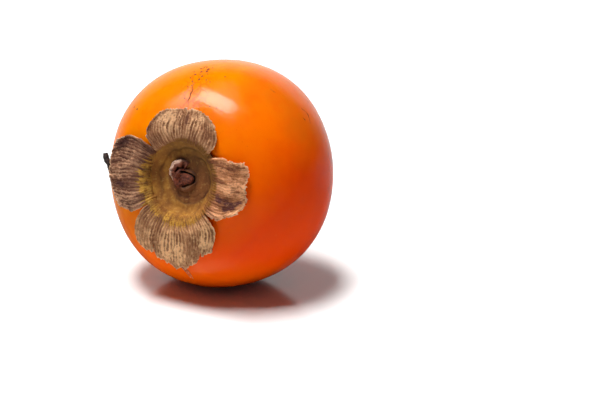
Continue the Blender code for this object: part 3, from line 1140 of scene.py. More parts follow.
@dataclass
class CalyxCup:
    """The sunken middle of the calyx: a leathery bowl with a ring on its floor."""

    site: Assembly
    radius: float = 14.1 * MM
    ring: float = 8.45 * MM
    air: float = 0.30 * MM
    wall: float = 0.95 * MM
    ring_step: float = 0.35 * MM
    plate_radius: float = 7.6 * MM
    plate_side: float = math.radians(-20)
    sag: float = 0.9 * MM
    ribs: float = 112.0
    rib_depth: float = 0.16 * MM
    rib_start: Pair = (10.4 * MM, 13.0 * MM)
    buckle: float = 0.45 * MM
    thinnest: float = 0.35 * MM
    groove_depth: float = 0.34 * MM
    inner_depth: float = 0.14 * MM
    groove_width: float = 0.32 * MM
    fold_width: float = 0.42 * MM
    segments: int = 420
    rings: int = 170

    def sizes(self) -> dict[str, float]:
        """The tree's inputs and what they take."""
        own = labelled(self, "air", "wall", "ring_step", "plate_radius", "plate_side", "sag")
        own |= labelled(self, "ribs", "rib_depth", "buckle", "thinnest", "fold_width")
        own |= labelled(self, "groove_depth", "groove_width", "inner_depth")
        own |= {"Cup Radius": self.radius, "Ring Radius": self.ring}
        own |= {"Plate X": PLATE_CENTRE[0], "Plate Y": PLATE_CENTRE[1]}
        return {**self.site.form.sizes(), **own}

    def top(self, radius: np.ndarray) -> np.ndarray:
        """Finds the height of the cup's upper face, without its relief.

        Args:
            radius: Distances from the axis.

        Returns:
            The heights.
        """
        ring, rim = (self.site.form.calyx_end(np.array(r), np.array(0.0)) for r in (self.ring, self.radius))
        share = np.clip((radius - self.ring) / (self.radius - self.ring), 0, 1)
        slope = ring + (rim - ring) * eased(share)
        dish = np.minimum((radius / self.ring) ** 2 - 1, 0) * self.sag
        return slope + dish + self.air + self.wall

    def tree(self) -> Tree:
        """Writes the tree that grows the cup from a sphere pressed flat."""
        tree, size = Tree.geometry("calyx_cup_form", self.sizes())
        ball = tree.ball(self.segments, self.rings)
        x, y, z = tree.separate(tree.spot())
        angle = tree.around(x, y)
        top = tree.above(z)
        radius = size["Cup Radius"] * tree.flattened(z)
        under = self.skin_height(tree, size, radius) + size["Air"]
        rim_height = self.skin_height(tree, size, size["Cup Radius"]) + size["Air"] + size["Wall"]
        ring_height = self.skin_height(tree, size, size["Ring Radius"]) + size["Air"] + size["Wall"]
        slope = tree.span(radius, size["Ring Radius"], size["Cup Radius"])
        dish = tree.math("MINIMUM", (radius / size["Ring Radius"]) ** 2.0 - 1.0, 0.0) * size["Sag"]
        relief, rib, crease = self.relief(tree, size, angle, radius)
        upper = ring_height + (rim_height - ring_height) * slope + dish + relief
        upper = tree.math("MAXIMUM", upper, under + size["Thinnest"])
        along = upper * top + under * (1.0 - top)
        flat = tree.combine(tree.cos(angle) * radius, tree.sin(angle) * radius, along)
        marked = tree.mark(ball, "rib", rib * top + (1.0 - top) * 0.7)
        # The crease value tells the finish where to paint shade along the creases.
        marked = tree.mark(marked, "crease", crease * top)
        tree.close(tree.formed(marked, flat), size["Finish"])
        return tree

    @staticmethod
    def skin_height(tree: Tree, size: dict[str, Wire], radius: Feed) -> Wire:
        """Writes the skin's height under the calyx.

        Args:
            tree: The tree.
            size: The tree's inputs.
            radius: The distance from the axis.

        Returns:
            The height.
        """
        share = (radius / size["Equator Radius"]) ** size["Calyx Power"]
        dome = size["Calyx Height"] * (1.0 - share) ** (1.0 / size["Calyx Power"])
        hollow = tree.math("EXPONENT", 0.0 - (radius / size["Cavity Radius"]) ** size["Cavity Power"])
        return dome - size["Cavity Depth"] * hollow

    def relief(self, tree: Tree, size: dict[str, Wire], angle: Wire,
               radius: Wire) -> tuple[Wire, Wire, Wire]:
        """Writes the cup's relief: ribs by the rim, soft buckles, and the plate pressed into its floor.

        Args:
            tree: The tree.
            size: The tree's inputs.
            angle: Direction round the axis.
            radius: Distance from the axis.

        Returns:
            The relief, how far up a rib each place is, and how deep in a crease, both from 0 to 1.
        """
        cosine, sine = tree.cos(angle), tree.sin(angle)
        spin = tree.combine(cosine, sine, radius * 60.0)
        wander = tree.drift(spin, 3.0, 2) * 2.4
        ridge = tree.size_of(tree.sin(angle * size["Ribs"] * 0.5 + wander))
        fade = tree.span(radius + tree.drift(spin, 7.0, 2) * 5 * MM, *self.rib_start)
        rib = 1.0 - (1.0 - ridge) * fade
        place = tree.combine(cosine * radius, sine * radius)
        buckle = tree.drift(place, 130, 2, 0.55) * 2.0 * size["Buckle"]
        pleat = tree.drift(place, 420, 2, 0.6) * 0.22 * MM
        x, y = cosine * radius - size["Plate X"], sine * radius - size["Plate Y"]
        turn = tree.around(x, y)
        facing = tree.span(tree.cos(turn - size["Plate Side"]), -0.8, 0.4, 0.15, 1.0)
        drift = tree.drift(spin, 2.0, 1) * 2.6 * MM
        offset = tree.length(x, y) + drift - size["Plate Radius"]
        broken = tree.span(tree.noise(spin, 3.1, 1), 0.3, 0.55, 0.35, 1.0)
        groove = tree.bell(offset / size["Groove Width"]) * facing * broken
        step = (tree.span(offset, -0.5 * MM, 0.2 * MM) - 1.0) * size["Ring Step"] * facing
        fold_at = 2.2 * MM - tree.cos(turn) * 0.9 * MM
        fold = tree.bell((offset - fold_at) / size["Fold Width"])
        above = tree.span(tree.cos(turn - 1.7), 0.1, 0.9)
        leftward = tree.span(tree.cos(turn), -0.75, -0.97, 0.0, 0.8)
        patchy = tree.span(tree.noise(spin, 2.2, 1), 0.3, 0.6, 0.5, 1.0)
        fold = fold * tree.math("MAXIMUM", above, leftward) * patchy
        inner = tree.bell((offset + 1.7 * MM) / (0.3 * MM))
        inner = inner * tree.span(tree.sin(angle), -0.3, -0.9)
        pressed = (groove + fold) * size["Groove Depth"] + inner * size["Inner Depth"]
        fine = tree.drift(place, 1300, 2) * 0.05 * MM
        relief = buckle + pleat + step - pressed + fine + (ridge - 0.6) * fade * size["Rib Depth"]
        return relief, rib, groove * 0.85 + fold * 0.6 + inner * 0.35

    def build(self) -> bpy.types.Object:
        """Grows the cup and adds it."""
        material = CalyxFinish("calyx_cup_leathery", self.site.place, LobeTone.CUP.value).build()
        mesh = grow("calyx_cup_bowl", self.tree(), self.sizes(), material)
        return self.site.add(mesh, "calyx_cup", ["calyx_cup"])


@dataclass
class Sepal:
    """One dried lobe of the calyx: a thin ribbed blade with a torn, curling edge."""

    site: Assembly
    cup: CalyxCup
    name: str
    notches: Pair
    first_side: Outline
    tip: Outline
    second_side: Outline
    lobe: LobeTone
    seed: int
    tip_curl: float
    side_curls: Pair
    clefts: tuple[Cleft, ...]
    stains: tuple[Stain, ...]
    ribs: float = 30.0
    rib_depth: float = 0.34 * MM
    buckle: float = 0.40 * MM
    crumple: float = 0.75 * MM
    start: float = 11.6 * MM
    start_rise: float = 0.7 * MM
    clearance: float = 0.16 * MM
    lift: float = 1.15 * MM
    joint: float = 2.4 * MM
    wall: float = 0.42 * MM
    tuck: float = 0.40 * MM
    wave: float = 0.5 * MM
    trim: float = 0.022
    frays: tuple[tuple[float, int], ...] = ((0.014, 14), (0.026, 46), (0.011, 110))
    frayed: int = 12
    rows: int = 110
    columns: int = 300

    def patch(self) -> np.ndarray:
        """Spans the lobe's outline with a grid, seen along the axis.

        Returns:
            The grid, rows by columns by two, in metres.
        """
        low, high = (math.radians(angle) for angle in self.notches)
        u = np.linspace(0, 1, self.columns + 1)
        v = np.linspace(0, 1, self.rows + 1)
        angles = low + (high - low) * u
        ragged = 0.22 * MM * soft_noise(u, self.seed + 4, 18) + 0.10 * MM * soft_noise(u, self.seed + 5, 60)
        start = (self.start + self.start_rise * np.clip(np.sin(angles), -0.4, 1) + ragged)[:, None]
        base = start * np.stack([np.cos(angles), np.sin(angles)], axis=-1)
        first, tip, second = (np.array(run) * MM for run in (self.first_side, self.tip, self.second_side))
        left = smooth_curve(np.vstack([base[:1], first, tip[:1]]), self.rows)
        right = smooth_curve(np.vstack([base[-1:], second[::-1], tip[-1:]]), self.rows)
        end = smooth_curve(tip, self.columns)
        across, along = u[None, :, None], v[:, None, None]
        corners = (base[0] * (1 - across) + base[-1] * across) * (1 - along)
        corners = corners + (end[0] * (1 - across) + end[-1] * across) * along
        sides = left[:, None] * (1 - across) + right[:, None] * across
        return base[None] * (1 - along) + end[None] * along + sides - corners

    def tear(self, grid: np.ndarray) -> np.ndarray:
        """Pulls the edge back where the lobe is torn or frayed.

        Args:
            grid: The whole lobe's grid.

        Returns:
            The torn lobe's grid.
        """
        u = np.linspace(0, 1, self.columns + 1)
        short = self.trim
        for offset, (depth, knots) in enumerate(self.frays):
            short = short + depth * soft_noise(u, self.seed + offset, knots)
        for middle, depth, width in self.clefts:
            short = short + depth * np.exp(-(((u - middle) / width) ** 2))
        v = np.linspace(0, 1, self.rows + 1)[:, None]
        kept = v - short[None] * v**4
        spot = np.clip(kept, 0, 1) * self.rows
        low = np.minimum(spot.astype(int), self.rows - 1)
        share = (spot - low)[..., None]
        column = np.arange(self.columns + 1)[None]
        torn = grid[low, column] * (1 - share) + grid[low + 1, column] * share
        side = np.linspace(0, 1, self.rows + 1)
        for edge, inwards, seed in ((0, 1, 5), (-1, -1, 6)):
            pull = 0.10 + 0.5 * soft_noise(side, self.seed + seed, 22)
            pull = pull + 0.3 * soft_noise(side, self.seed + seed + 2, 60)
            pull = np.clip(pull, 0, 1)[:, None] * 0.28 * MM * np.sin(side * math.pi)[:, None] ** 0.5
            inward = torn[:, edge + inwards * self.frayed] - torn[:, edge]
            inward = inward / np.maximum(np.linalg.norm(inward, axis=1, keepdims=True), 1e-9)
            for step in range(self.frayed):
                torn[:, edge + inwards * step] += inward * pull * (1 - step / self.frayed)
        return torn

    def sheet(self) -> bpy.types.Mesh:
        """Lays the torn grid on the fruit's shoulder, its edges curling up.

        Returns:
            The open sheet.
        """
        grid = self.tear(self.patch())
        u = np.linspace(-1, 1, self.columns + 1)[None]
        v = np.linspace(0, 1, self.rows + 1)[:, None]
        first, second = self.side_curls
        raised = self.tip_curl * v**2.2
        raised = raised + first * np.clip(-u, 0, 1) ** 3 * v + second * np.clip(u, 0, 1) ** 3 * v
        waves = soft_noise((u + 1) / 2, self.seed + 9, 7) * v**2 * self.wave
        sunk = self.tuck * np.clip(1 - v / 0.03, 0, 1)
        x, y = grid[..., 0], grid[..., 1]
        reach = np.hypot(x, y)
        on_skin = self.site.form.calyx_end(x, y) + self.lift
        on_cup = self.cup.top(reach) + self.clearance
        share = eased(np.clip((reach - self.cup.radius) / self.joint + 0.5, 0, 1))
        bed = on_cup * (1 - share) + on_skin * share
        height = bed + raised + np.maximum(waves, -self.wave / 2) - sunk
        mesh = sheet_mesh(self.name, np.stack([x, y, height], axis=-1))
        store(mesh, "stain", self.stained())
        return mesh

    def stained(self) -> np.ndarray:
        """Finds how dark or pale each place of the lobe has dried.

        Returns:
            A grid of -1, palest, to 1, darkest.
        """
        u = np.linspace(0, 1, self.columns + 1)[None]
        v = np.linspace(0, 1, self.rows + 1)[:, None]
        total = np.zeros((self.rows + 1, self.columns + 1))
        for across, along, wide, tall, amount in self.stains:
            total += amount * np.exp(-(((u - across) / wide) ** 2) - ((v - along) / tall) ** 2)
        return np.clip(total, -1, 1)

    def sizes(self) -> dict[str, float]:
        """The tree's inputs and what they take."""
        return {**labelled(self, "ribs", "rib_depth", "buckle", "crumple"), "Seed": float(self.seed)}

    def tree(self) -> Tree:
        """Writes the tree that raises ribs along the sheet."""
        tree, size = Tree.geometry("sepal_ribs", self.sizes())
        blade = tree.stored("blade", "FLOAT_VECTOR")
        across, along, _ = tree.separate(blade)
        seed = size["Seed"] * 3.7
        wander = (tree.weave(across * 4.0, along * 1.2, seed, 1) - 0.5) * 3.0
        crumple = tree.weave(across * 22.0, along * 7.0, seed + 11.0, 2) - 0.5
        wander = wander + crumple * (0.35 + along**2.0 * 2.2)
        ridge = tree.size_of(tree.sin((across * size["Ribs"] + wander) * math.pi))
        ridge = ridge**0.6
        patchy = tree.span(tree.weave(across * 13.0, along * 2.2, seed + 5.0, 2), 0.32, 0.68)
        strength = (0.95 + patchy * 0.65) * tree.span(along, 1.2, 0.5, 0.75, 1.0)
        fine = tree.size_of(tree.sin((across * 2.0 * size["Ribs"] + wander * 1.6) * math.pi))
        ridge = ridge + (fine - ridge) * (0.12 + along * 0.36)
        relief = (ridge - 0.6) * strength * size["Rib Depth"]
        cross = tree.weave(across * 34.0, along * 17.0, seed + 2.0, 3) - 0.5
        outer = tree.span(along, 0.15, 0.75)
        buckle = tree.weave(across * 5.0, along * 2.2, seed + 8.0, 2) - 0.42
        relief = relief + cross * outer * size["Crumple"] + buckle * along * 2.0 * size["Buckle"]
        # The stored rib value follows the relief, ridges and crumples alike; the finish paints shade on its
        # low places and highlight on its high ones.
        height = 1.0 - (1.0 - ridge) * strength * 0.78 + cross * outer * 0.8
        height = tree.math("MAXIMUM", tree.math("MINIMUM", height, 1.2), 0.0)
        # The rim value marks the lobe's edges, where the finish paints a pale edge and a highlight.
        rim = tree.span(tree.size_of(across - 0.5), 0.485, 0.5) * tree.span(along, 0.2, 0.45)
        rim = tree.math("MAXIMUM", rim, tree.span(along, 0.965, 0.99))
        marked = tree.mark(size["Geometry"], "rib", height)
        marked = tree.mark(marked, "rim", rim)
        tree.close(tree.raised(marked, relief), size["Finish"])
        return tree

    def build(self) -> bpy.types.Object:
        """Grows the lobe and adds it."""
        material = CalyxFinish(f"{self.name}_dry", self.site.place, self.lobe.value).build()
        ribbed = grow(f"{self.name}_blade", self.tree(), self.sizes(), material, self.sheet())
        ribbed.name = self.name + "_lobe"
        return self.site.add(thicken(ribbed, self.wall), "sepal", [self.name])


@dataclass
class StemStub:
    """What is left of the stem: a cracked woody core behind a curl of bark."""

    site: Assembly
    cup: CalyxCup
    centre: Pair = (-0.2 * MM, -0.1 * MM)
    core_radius: float = 4.5 * MM
    core_height: float = 2.0 * MM
    crack_radius: float = 2.4 * MM
    crack_depth: float = 1.5 * MM
    crack_width: float = 0.31 * MM
    crack_corner: float = 0.5
    crack_waist: float = 0.18
    lip: float = 0.1 * MM
    roughness: float = 0.8 * MM
    lean: float = 1.6
    bedding: float = 0.35 * MM
    footing: float = 0.6 * MM
    bark_facing: float = math.radians(165)
    bark_height: float = 2.1 * MM
    bark_from: float = math.radians(76)
    bark_to: float = math.radians(262)
    bark_wall: float = 1.9 * MM
    bark_stops: tuple[float, ...] = (0.0, 0.18, 0.4, 0.67, 1.0)
    bark_foot: tuple[float, ...] = (4.0, 5.2, 6.3, 5.6, 4.4)
    bark_rim: tuple[float, ...] = (3.6, 4.6, 5.6, 4.6, 3.6)
    bark_crown: tuple[float, ...] = (0.8, 1.15, 1.15, 1.0, 0.35)
    bark_columns: int = 120
    bark_rows: int = 44
    segments: int = 200
    rings: int = 150

    def floor(self) -> float:
        """Height of the cup's floor under the stub."""
        return float(self.cup.top(np.array(math.hypot(*self.centre)))) - self.cup.ring_step

    def sizes(self) -> dict[str, float]:
        """The core's inputs and what they take."""
        own = labelled(self, "crack_radius", "crack_depth", "crack_width", "crack_corner", "crack_waist")
        own |= labelled(self, "bark_facing", "lip", "roughness", "lean", "bedding", "footing")
        own |= {"Radius": self.core_radius, "Height": self.core_height, "Foot": self.floor()}
        return {**own, "Centre X": self.centre[0], "Centre Y": self.centre[1]}

    def tree(self) -> Tree:
        """Writes the tree that grows the core from a sphere pressed flat."""
        tree, size = Tree.geometry("stem_core_form", self.sizes())
        ball = tree.ball(self.segments, self.rings)
        x, y, z = tree.separate(tree.spot())
        angle = tree.around(x, y)
        share = tree.flattened(z)
        top = tree.above(z)
        cosine, sine = tree.cos(angle), tree.sin(angle)
        rim = size["Radius"] * (1.0 + tree.drift(tree.combine(cosine, sine, 4.0), 1.6, 2) * 0.25)
        radius = rim * share
        flat = tree.combine(size["Centre X"] + cosine * radius, size["Centre Y"] + sine * radius)
        corner = tree.math("MAXIMUM", tree.cos(angle - 0.15), 0.0) ** 5.0 * size["Crack Corner"]
        waist = tree.math("MAXIMUM", tree.cos(angle + 1.0), 0.0) ** 4.0 * size["Crack Waist"]
        uneven = tree.drift(flat, 1500, 1) * 0.5 * MM
        across = radius - size["Crack Radius"] * (1.0 + corner - waist) - uneven
        open_side = tree.span(tree.cos(angle - 0.09), -0.52, -0.2)
        crack = tree.bell(across / size["Crack Width"]) * open_side
        lip = tree.bell((across - 0.5 * MM) / (0.35 * MM)) * open_side
        knob = tree.span(across, 0.1 * MM, -1.3 * MM, 0.85, 1.0)
        shoulder = tree.span(radius, rim, rim * 0.7) * knob
        rough = tree.drift(flat, 900, 3, 0.65) * size["Roughness"]
        facing = tree.cos(angle - size["Bark Facing"])
        leaning = tree.span(facing, 0.0, 0.6) * (1.0 - share) * tree.span(across, -0.9 * MM, 0.2 * MM)
        raised = (size["Height"] * (1.0 + leaning * size["Lean"]) + rough) * shoulder + lip * size["Lip"]
        height = size["Foot"] - size["Bedding"] + raised - crack * size["Crack Depth"]
        along = height * top + (size["Foot"] - size["Footing"]) * (1.0 - top)
        heart = tree.math("MAXIMUM", tree.span(across, 0.1 * MM, -0.2 * MM), tree.span(facing, -0.1, 0.3))
        # The crack value tells the finish where to paint the crack's shade.
        marked = tree.mark(tree.mark(ball, "crack", crack * top), "heart", heart)
        formed = tree.vector("ADD", flat, tree.combine(0.0, 0.0, along))
        tree.close(tree.formed(marked, formed), size["Finish"])
        return tree

    def core(self) -> bpy.types.Object:
        """Grows the core: a low knot of wood, cracked along one side where the stem broke off."""
        material = WoodFinish("stem_core_wood", self.site.place, WoodPart.CORE).build()
        mesh = grow("stem_core", self.tree(), self.sizes(), material)
        return self.site.add(mesh, "stem_bark", ["stem_stub"])

    def bark(self) -> bpy.types.Object:
        """Bends the curl of bark round the core's left side, leaning in to a frayed rim."""
        share = np.linspace(0, 1, self.bark_columns + 1)[None]
        rise = np.linspace(0, 1, self.bark_rows + 1)[:, None]
        angle = self.bark_from + (self.bark_to - self.bark_from) * share
        foot, rim, crown = (
            np.interp(share, self.bark_stops, run) for run in (self.bark_foot, self.bark_rim, self.bark_crown)
        )
        foot = foot * MM
        rim = rim * MM + 0.22 * MM * soft_noise(share, 38, 12)
        crown = crown + 0.10 * soft_noise(share, 31, 14) + 0.08 * soft_noise(share, 32, 42)
        radius = foot + (rim - foot) * rise**0.8
        radius = radius + 0.13 * MM * soft_noise(share, 35, 34) * np.sin(rise * math.pi) ** 0.5
        height = self.floor() + 0.15 * MM + self.bark_height * crown * rise
        x = BARK_CENTRE[0] + radius * np.cos(angle)
        y = BARK_CENTRE[1] + radius * np.sin(angle)
        grid = np.stack([x, y, height], axis=-1)
        mesh = thicken(sheet_mesh("stem_bark_curl", grid), self.bark_wall)
        mesh.materials.append(WoodFinish("stem_bark_curl", self.site.place, WoodPart.BARK).build())
        mesh.shade_smooth()
        return self.site.add(mesh, "stem_bark")

    def build(self) -> None:
        """Makes the core and the bark."""
        self.core()
        self.bark()


@dataclass
class DryTip:
    """A shrivelled thread that ends a lobe or stands where the flower's style was."""

    site: Assembly
    name: str
    runs: tuple[tuple[Point, ...], ...]
    girth: tuple[float, ...]
    part: WoodPart
    slot: str
    replaced: tuple[str, ...] = ()
    steps: int = 40
    knots: float = 0.25

    def build(self) -> bpy.types.Object:
        """Grows the threads and adds them."""
        girth = spread(self.girth, self.steps)
        paths = [(smooth_curve(np.array(run) * MM, self.steps), girth) for run in self.runs]
        material = WoodFinish(self.name, self.site.place, self.part).build()
        mesh = thread_mesh(self.name, paths, material, self.knots)
        return self.site.add(mesh, self.slot, self.replaced)


@dataclass
class SkinMarks:
    """The skin's scars: a corky crack above the calyx, fine scratches, specks, and pores all over.

    The lists of places and radii are in millimetres, on the fruit's axis.
    """

    site: Assembly
    skin: FruitSkin
    crack: tuple[Point, ...] = (
        (-0.5, 23.3, 22.6), (-0.9, 24.8, 21.8), (-1.1, 26.3, 21.0), (-1.1, 27.8, 20.0), (-2.0, 29.8, 18.3),
        (-3.4, 31.2, 16.8), (-3.4, 32.1, 15.7),
    )
    crack_girth: tuple[float, ...] = (0.10, 0.17, 0.15, 0.10, 0.06, 0.05, 0.07)
    scratches: tuple[tuple[Point, ...], ...] = (
        ((27.7, 24.5, 2.5), (29.0, 23.0, 0.6), (31.0, 20.2, 1.3)),
        ((29.5, 22.0, 4.2), (30.2, 21.0, 3.4)),
        ((6.3, 23.6, 22.1), (7.4, 23.5, 21.9)),
        ((8.7, 23.2, 21.8), (9.6, 23.3, 21.5)),
        ((10.5, 22.5, 21.6), (11.9, 22.6, 21.2)),
        ((19.9, 29.5, 9.2), (21.9, 28.7, 8.8)),
        ((-2.4, 34.9, 11.2), (-1.9, 34.4, 12.2), (-2.7, 34.0, 13.0)),
    )
    scratch_girth: tuple[float, ...] = (0.03, 0.09, 0.03)
    steps: int = 60
    wander: float = 0.22 * MM
    wander_seed: int = 60
    uneven_seed: int = 80
    knots: float = 0.3
    sides: int = 8
    specks: tuple[Speck, ...] = (
        (-3.0, 32.1, 15.7, 0.42), (-0.2, 31.8, 16.2, 0.40), (0.2, 33.4, 14.2, 0.46),
        (0.0, 34.0, 13.2, 0.50), (-2.5, 30.0, 18.0, 0.30), (-0.5, 30.9, 17.3, 0.36),
        (2.0, 30.9, 17.2, 0.28), (3.6, 30.4, 17.5, 0.24), (-2.6, 24.9, 21.7, 0.26),
        (-1.6, 33.2, 14.6, 0.38), (-2.0, 28.9, 19.2, 0.22), (7.1, 32.3, 14.6, 0.26),
        (-20.9, 19.1, 19.6, 0.36), (-23.1, 19.4, 18.0, 0.28), (-2.7, 34.0, 13.0, 0.36),
        (-3.9, 31.0, 17.0, 0.26), (-1.4, 32.4, 15.6, 0.26), (1.1, 32.6, 15.2, 0.26),
        (-1.3, 34.6, 12.0, 0.34), (0.9, 34.5, 12.2, 0.26), (-4.2, 32.9, 14.6, 0.22),
        (-3.1, 28.4, 19.4, 0.20), (-3.4, 26.6, 20.6, 0.18),
    )
    pore_gap: float = 3.4 * MM
    pore_share: float = 26000.0
    pore_sizes: Pair = (0.05 * MM, 0.13 * MM)
    pore_seed: int = 7
    girth_seed: int = 9
    pore_tones: tuple[tuple, tuple] = (tone(196, 74, 4), tone(232, 108, 8))
    flatness: float = 0.3

    def settle(self, places: np.ndarray) -> tuple[np.ndarray, np.ndarray]:
        """Lays places on the skin.

        Args:
            places: The places, near the skin.

        Returns:
            The nearest places on the skin and the directions out of it.
        """
        found = [self.skin.surface.find_nearest(place) for place in places]
        return np.array([hit[0] for hit in found]), np.array([hit[1] for hit in found])

    def lines(self) -> bpy.types.Object:
        """Grows the crack and the scratches as thin raised threads."""
        share = np.linspace(0, 1, self.steps + 1)
        marks = [(self.crack, self.crack_girth), *((run, self.scratch_girth) for run in self.scratches)]
        runs = []
        for seed, (points, girths) in enumerate(marks):
            path = smooth_curve(np.array(points) * MM, self.steps)
            path[:, 0] += self.wander * soft_noise(share, self.wander_seed + seed, 16)
            uneven = 1 + 0.5 * soft_noise(share, self.uneven_seed + seed, 24)
            runs.append((self.settle(path)[0], spread(girths, self.steps) * uneven))
        material = ScarFinish("skin_scar_cork", self.site.place).build()
        mesh = thread_mesh("skin_crack_lines", runs, material, self.knots, self.sides)
        return self.site.add(mesh, "fruit_skin")

    def grain_sizes(self) -> dict[str, float]:
        """The inputs of the specks' tree."""
        return labelled(self, "flatness")

    def pore_inputs(self) -> dict[str, float]:
        """The inputs of the pores' tree."""
        return {**self.grain_sizes(), "Gap": self.pore_gap, "Share": self.pore_share}

    def speck_tree(self) -> Tree:
        """Writes the tree that sets a flat grain on each point, lying on the skin."""
        tree, size = Tree.geometry("skin_speck_form", self.grain_sizes())
        facing = tree.stored("facing", "FLOAT_VECTOR")
        girth = tree.stored("girth")
        points = tree.wire("GeometryNodeMeshToPoints", {"Mesh": size["Geometry"]})
        turn = tree.wire("FunctionNodeAlignRotationToVector", {"Vector": facing})
        self.set_grains(tree, size, points, turn, girth)
        return tree

    def pore_tree(self) -> Tree:
        """Writes the tree that scatters pores over the whole skin."""
        tree, size = Tree.geometry("skin_pore_form", self.pore_inputs())
        feeds = {"Mesh": size["Geometry"], "Distance Min": size["Gap"], "Density Max": size["Share"]}
        feeds["Seed"] = self.pore_seed
        scatter = tree.node("GeometryNodeDistributePointsOnFaces", feeds, distribute_method="POISSON")
        points, turn = Wire(tree, scatter.outputs["Points"]), Wire(tree, scatter.outputs["Rotation"])
        low, high = self.pore_sizes
        feeds = {2: low, 3: high, "Seed": self.girth_seed}
        girth = tree.wire("FunctionNodeRandomValue", feeds, 1, data_type="FLOAT")
        self.set_grains(tree, size, points, turn, girth)
        return tree

    @staticmethod
    def set_grains(tree: Tree, size: dict[str, Wire], points: Wire, turn: Wire, girth: Wire) -> None:
        """Sets a flat grain on each point and ends the tree.

        Args:
            tree: The tree.
            size: The tree's inputs.
            points: The points.
            turn: How each grain is turned.
            girth: Each grain's radius.
        """
        grain = tree.wire("GeometryNodeMeshIcoSphere", {"Radius": 1.0, "Subdivisions": 2})
        uneven = tree.noise(tree.spot(), 900, 1) + 0.5
        scale = tree.combine(girth, girth * uneven, girth * size["Flatness"])
        feeds = {"Points": points, "Instance": grain, "Rotation": turn, "Scale": scale}
        tree.close(tree.wire("GeometryNodeInstanceOnPoints", feeds), size["Finish"])

    def dots(self) -> None:
        """Grows the specks and the pores."""
        material = ScarFinish("skin_speck_cork", self.site.place).build()
        places, facing = self.settle(np.array(self.specks)[:, :3] * MM)
        seed = bpy.data.meshes.new("skin_specks")
        seed.from_pydata(places.tolist(), [], [])
        store(seed, "facing", facing, "FLOAT_VECTOR")
        store(seed, "girth", np.array(self.specks)[:, 3] * MM)
        specks = grow("skin_specks", self.speck_tree(), self.grain_sizes(), material, seed)
        self.site.add(specks, "fruit_skin")
        material = ScarFinish("skin_pore_cork", self.site.place, *self.pore_tones).build()
        pores = grow("skin_pores", self.pore_tree(), self.pore_inputs(), material, self.skin.raw)
        self.site.add(pores, "fruit_skin")

    def build(self) -> None:
        """Makes the lines, the specks and the pores."""
        self.lines()
        self.dots()


@dataclass(frozen=True)
class Softbox:
    """An area light that looks at the fruit.

    Attributes:
        name: The light's name.
        direction: From the fruit to the light: right, away and up, as the camera sees it.
        distance: How far the light is.
        size: Its width and its depth.
        turn: How far it is turned about the line to the fruit.
        radiance: How bright its face is, where a white floor in the open is about 1.
        mirrored: Whether it shows in what shines, or else lights what is matt.
    """

    name: str
    direction: Point
    distance: float
    size: Pair
    turn: float
    radiance: float
    mirrored: bool


